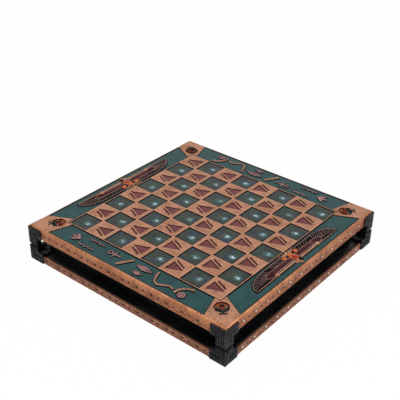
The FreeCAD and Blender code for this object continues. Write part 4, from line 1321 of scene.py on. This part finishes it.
def sign_lines():
    """Fine dark lines on the left ornaments: the lens with its ribs, a stroke beside it, and a
    ring with four rays."""
    x, y = LENS
    lines = [dark_line([(x, y - 11), (x, y + 11)], 0.6, 0.46),
             dark_line([(STROKE_X, -26), (STROKE_X, -14)], 0.6),
             dark_line(ellipse(*RAYED_RING, 3.0, 3.0, 20), 0.6, 0.46, True)]
    for step in range(7):
        away = 3 * step - 9
        reach = 3.1 * math.sqrt(1 - (away / 13) ** 2)
        lines.append(dark_line([(x - reach, y + away), (x + reach, y + away)], 0.5))
    x, y = RAYED_RING
    for turn in range(4):
        angle = math.radians(45 + 90 * turn)
        lines.append(dark_line([(x + reach * math.cos(angle), y + reach * math.sin(angle))
                                for reach in (1.0, 5.2)], 0.6))
    return joined(lines, "sign_lines")


def side_ornaments():
    """The ornaments of both side panels, the right ones turned round."""
    for side, sign in (("left", 1), ("right", -1)):
        sign_pieces(side, sign)
    lines = sign_lines()
    for side, quarters in (("left", 0), ("right", 2)):
        piece_from(quarter_turned(lines, quarters), f"sign_lines_{side}", [line_black], "lid",
                   "copper_bright")


EMBLEM_MIDDLE = 150.5
EMBLEM_FOOT = PLATE_TOP - 0.1


def on_emblem(loop):
    """A loop's (down, across) places on the front left emblem as x and y."""
    return [(-EMBLEM_MIDDLE - (down + across) * math.sqrt(0.5),
             -EMBLEM_MIDDLE - (down - across) * math.sqrt(0.5)) for down, across in loop]


def emblem_arc(radius, start, stop, steps):
    """An arc about the emblem's middle, from degree to degree."""
    arc = []
    for step in range(steps + 1):
        angle = math.radians(start + (stop - start) * step / steps)
        arc.append((-radius * math.cos(angle), radius * math.sin(angle)))
    return arc


def emblem_leaf(side):
    """Outline of one of the two leaves, eight steps to each of its edges."""
    angle = math.radians(side * 42)
    middle = (7.8 * math.cos(angle), 7.8 * math.sin(angle))
    leaf = []
    for step in range(16):
        share = step / 8 if step < 8 else (16 - step) / 8
        along = (share - 0.5) * 11.6
        wide = 2.7 * math.sin(math.pi * share) * (1 if step < 8 else -1)
        leaf.append((middle[0] - along * math.sin(angle) + wide * math.cos(angle),
                     middle[1] + along * math.cos(angle) + wide * math.sin(angle)))
    return leaf


def corner_emblems():
    """Dark raised outlines of the corner emblems, with their stem and foot."""
    arch = emblem_arc(10.0, -92, 92, 24) + emblem_arc(5.6, -92, 92, 24)[::-1]
    stem = [(4.6, -0.9), (11.6, -1.5), (11.6, 1.5), (4.6, 0.9)]
    foot = [(12.4, -5.2), (14.2, -5.8), (14.2, 5.8), (12.4, 5.2)]
    loops = [(emblem_arc(3.7, 0, 345, 23), 1.0), (arch, 1.0), (emblem_leaf(-1), 0.8),
             (emblem_leaf(1), 0.8), (stem, 0.7), (foot, 0.7)]
    outline = joined([wire_line(on_emblem(loop), wide, EMBLEM_FOOT, PLATE_TOP + 0.42, True)
                      for loop, wide in loops], "emblem_outline")
    fill = joined([flat_shape(on_emblem(loop), EMBLEM_FOOT, PLATE_TOP + 0.2, 0.12)
                   for loop in (stem, foot)], "emblem_fill")
    for label, mesh, finish, slot in (("outline", outline, line_black, "copper_cast"),
                                      ("fill", fill, leaf_enamel, "enamel_green")):
        copies = [quarter_turned(mesh, quarter) for quarter in range(4)]
        piece_from(joined(copies, f"emblem_{label}"), f"emblem_{label}", [finish], "lid", slot)


# Posts, screws, felt and pads


POST_RADIUS = 2.4
SCREW_X, SCREW_Y = -160.4, -170.0
PAD_RADIUS = 9.0


def at_corners(shape, x, y, finish, name):
    """An upright shape at that place of the front left corner and of the other three."""
    return on_marks(shape, all_round([((x, y, 0), (0, 0, 0), (1, 1, 1))]), finish, name)


def small_fittings():
    """Posts and screws, each from one turned shape."""
    low, high = [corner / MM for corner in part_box("guide_posts")]
    place = high.x - POST_RADIUS
    post = turned_shape([(0, low.z), (POST_RADIUS, low.z), (POST_RADIUS, high.z - 1.6),
                         (POST_RADIUS * 0.8, high.z - 0.5), (POST_RADIUS * 0.5, high.z),
                         (0, high.z)], 32, "post")
    mesh = at_corners(post, -place, -place, post_black, "posts")
    piece_from(mesh, "locating_posts", [post_black], "case", "gunmetal_polished", "guide_posts")
    for node, body in (("base_casting_screws", "case"), ("lid_casting_screws", "lid")):
        foot, top = [corner.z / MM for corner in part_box(node)]
        screw = turned_shape([(0, foot + 0.9), (1.5, foot + 0.9), (1.5, foot + 0.15), (2.2, foot),
                              (2.75, foot + 0.25), (3.0, foot + 0.6), (3.0, foot + 1.6),
                              (1.5, foot + 1.6), (1.5, top - 1.0), (0.4, top), (0, top)],
                             6, "screw")
        mesh = at_corners(screw, SCREW_X, SCREW_Y, steel, node + "_turned")
        piece_from(mesh, node + "_piece", [steel], body, "screw_steel", node)


def sheet_faces(count):
    """Faces of a closed sheet whose underside and top are each a grid of count by count cells."""
    faces = []
    layer = (count + 1) ** 2
    for row in range(count):
        for column in range(count):
            start = row * (count + 1) + column
            quad = (start, start + 1, start + count + 2, start + count + 1)
            faces.append(tuple(layer + point for point in quad))
            faces.append(quad[::-1])
    ring = list(range(count))
    ring += [count + row * (count + 1) for row in range(count)]
    ring += [count * (count + 1) + count - column for column in range(count)]
    ring += [(count - row) * (count + 1) for row in range(count)]
    for first, second in zip(ring, ring[1:] + ring[:1]):
        faces.append((first, second, layer + second, layer + first))
    return faces


def felt_sheet(name, node, body):
    """A sheet of felt with a soft, slightly uneven surface."""
    low, high = [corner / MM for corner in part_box(node)]
    count = 60
    points = []
    thick = high.z - low.z
    for level in (0, 1):
        for row in range(count + 1):
            for column in range(count + 1):
                x = low.x + (high.x - low.x) * column / count
                y = low.y + (high.y - low.y) * row / count
                rim = min(column, row, count - column, count - row)
                dip = 0.18 * thick if rim == 0 else 0.0
                sag = 0.05 * math.sin(x * 0.11) * math.cos(y * 0.13)
                z = low.z + dip if level == 0 else high.z - 0.06 - dip + sag
                points.append((x, y, min(max(z, low.z), high.z)))
    mesh = smooth(mesh_from(points, sheet_faces(count), name), 60)
    piece = piece_from(mesh, name, [felt], body, "felt", node)


def soft_pieces():
    """The two felt sheets and the foot pads."""
    felt_sheet("floor_felt", "floor_lining", "case")
    felt_sheet("lid_felt", "lid_lining", "lid")
    _, high = [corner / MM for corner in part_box("foot_pads")]
    place = high.x - PAD_RADIUS
    pad = turned_shape([(0, 0), (PAD_RADIUS - 0.9, 0), (PAD_RADIUS - 0.25, 0.3), (PAD_RADIUS, 1.0),
                        (PAD_RADIUS - 0.15, 1.7), (PAD_RADIUS - 0.5, high.z), (0, high.z)],
                       40, "pad")
    mesh = at_corners(pad, -place, -place, felt, "felt_feet")
    piece = piece_from(mesh, "felt_feet", [felt], "case", "felt", "foot_pads")


plain_pieces()
friezes()
casting_bodies()
brick_lattice()
shoulder_scrolls()
foot_ornaments()
winged_figures()
side_ornaments()
corner_emblems()
small_fittings()
soft_pieces()


# Floor, light and camera


CAMERA_PLACE = (-0.7755, -0.6173, 0.6788)
CAMERA_FORWARD = (0.66841, 0.53999, -0.51151)
CAMERA_ROLL = 0.950


def seen_rays(bench):
    """1 for rays from the camera or by way of a mirror or a glass, 0 for rays that give light."""
    rays = [bench.add("ShaderNodeLightPath", out=f"Is {kind} Ray")
            for kind in ("Camera", "Glossy", "Transmission")]
    return bench.math("MAXIMUM", rays[0], bench.math("MAXIMUM", rays[1], rays[2]))


def white_floor():
    """A pale floor that keeps the shadow and goes white far from it."""
    mix = Finish("floor_paper")
    tooth = mix.clouds(2.0, 2)
    diffuse = mix.add("ShaderNodeBsdfDiffuse", None,
                      {"Color": mix.tint(tooth * 0.2, (0.9, 0.9, 0.9), (0.87, 0.87, 0.87))})
    glow = mix.add("ShaderNodeEmission", None, {"Color": (1, 1, 1, 1), "Strength": 1.0})
    both = mix.add("ShaderNodeMixShader", None, [seen_rays(mix) * 0.96, diffuse, glow])
    mix.add("ShaderNodeOutputMaterial", None, {"Surface": both})
    size = 4000.0
    mesh = mesh_from([(-size, -size, 0), (size, -size, 0), (size, size, 0), (-size, size, 0)],
                     [(0, 1, 2, 3)], "floor")
    mesh.materials.append(mix.material)
    hold(mesh, "floor")


def studio():
    """A white room and three soft lamps."""
    world = bpy.data.worlds.new("white_room")
    bpy.context.scene.world = world
    world.use_nodes = True
    world.node_tree.nodes.clear()
    bench = Bench(world.node_tree)
    light = bench.add("ShaderNodeBackground", None,
                      {"Color": (1, 1, 1, 1), "Strength": 0.42 + 0.58 * seen_rays(bench)})
    bench.add("ShaderNodeOutputWorld", None, {"Surface": light})
    for name, place, size, power in (("key", (0.5, -1.9, 1.7), 1.4, 26),
                                     ("top", (-0.5, 0.5, 2.2), 1.8, 20),
                                     ("fill", (-1.9, -0.3, 1.0), 1.4, 8)):
        lamp = bpy.data.lights.new(name, "AREA")
        lamp.shape = "DISK"
        lamp.size = size
        lamp.energy = power
        holder = bpy.data.objects.new(name, lamp)
        holder.location = place
        holder.rotation_euler = (-Vector(place)).to_track_quat("-Z", "Y").to_euler()
        bpy.context.scene.collection.objects.link(holder)


def camera():
    """The view that the board is shown from: near corner first, from above."""
    forward = Vector(CAMERA_FORWARD).normalized()
    level = forward.cross(Vector((0, 0, 1))).normalized()
    upright = level.cross(forward)
    roll = math.radians(CAMERA_ROLL)
    right = level * math.cos(roll) + upright * math.sin(roll)
    up = upright * math.cos(roll) - level * math.sin(roll)
    lens = bpy.data.cameras.new("camera")
    lens.lens = 71.19
    lens.sensor_width = 36.0
    lens.clip_end = 50.0
    holder = bpy.data.objects.new("camera", lens)
    turned = Matrix((right, up, -forward)).transposed().to_4x4()
    holder.matrix_world = Matrix.Translation(CAMERA_PLACE) @ turned
    bpy.context.scene.collection.objects.link(holder)
    bpy.context.scene.camera = holder


white_floor()
studio()
camera()
bpy.context.scene.view_settings.view_transform = "Standard"
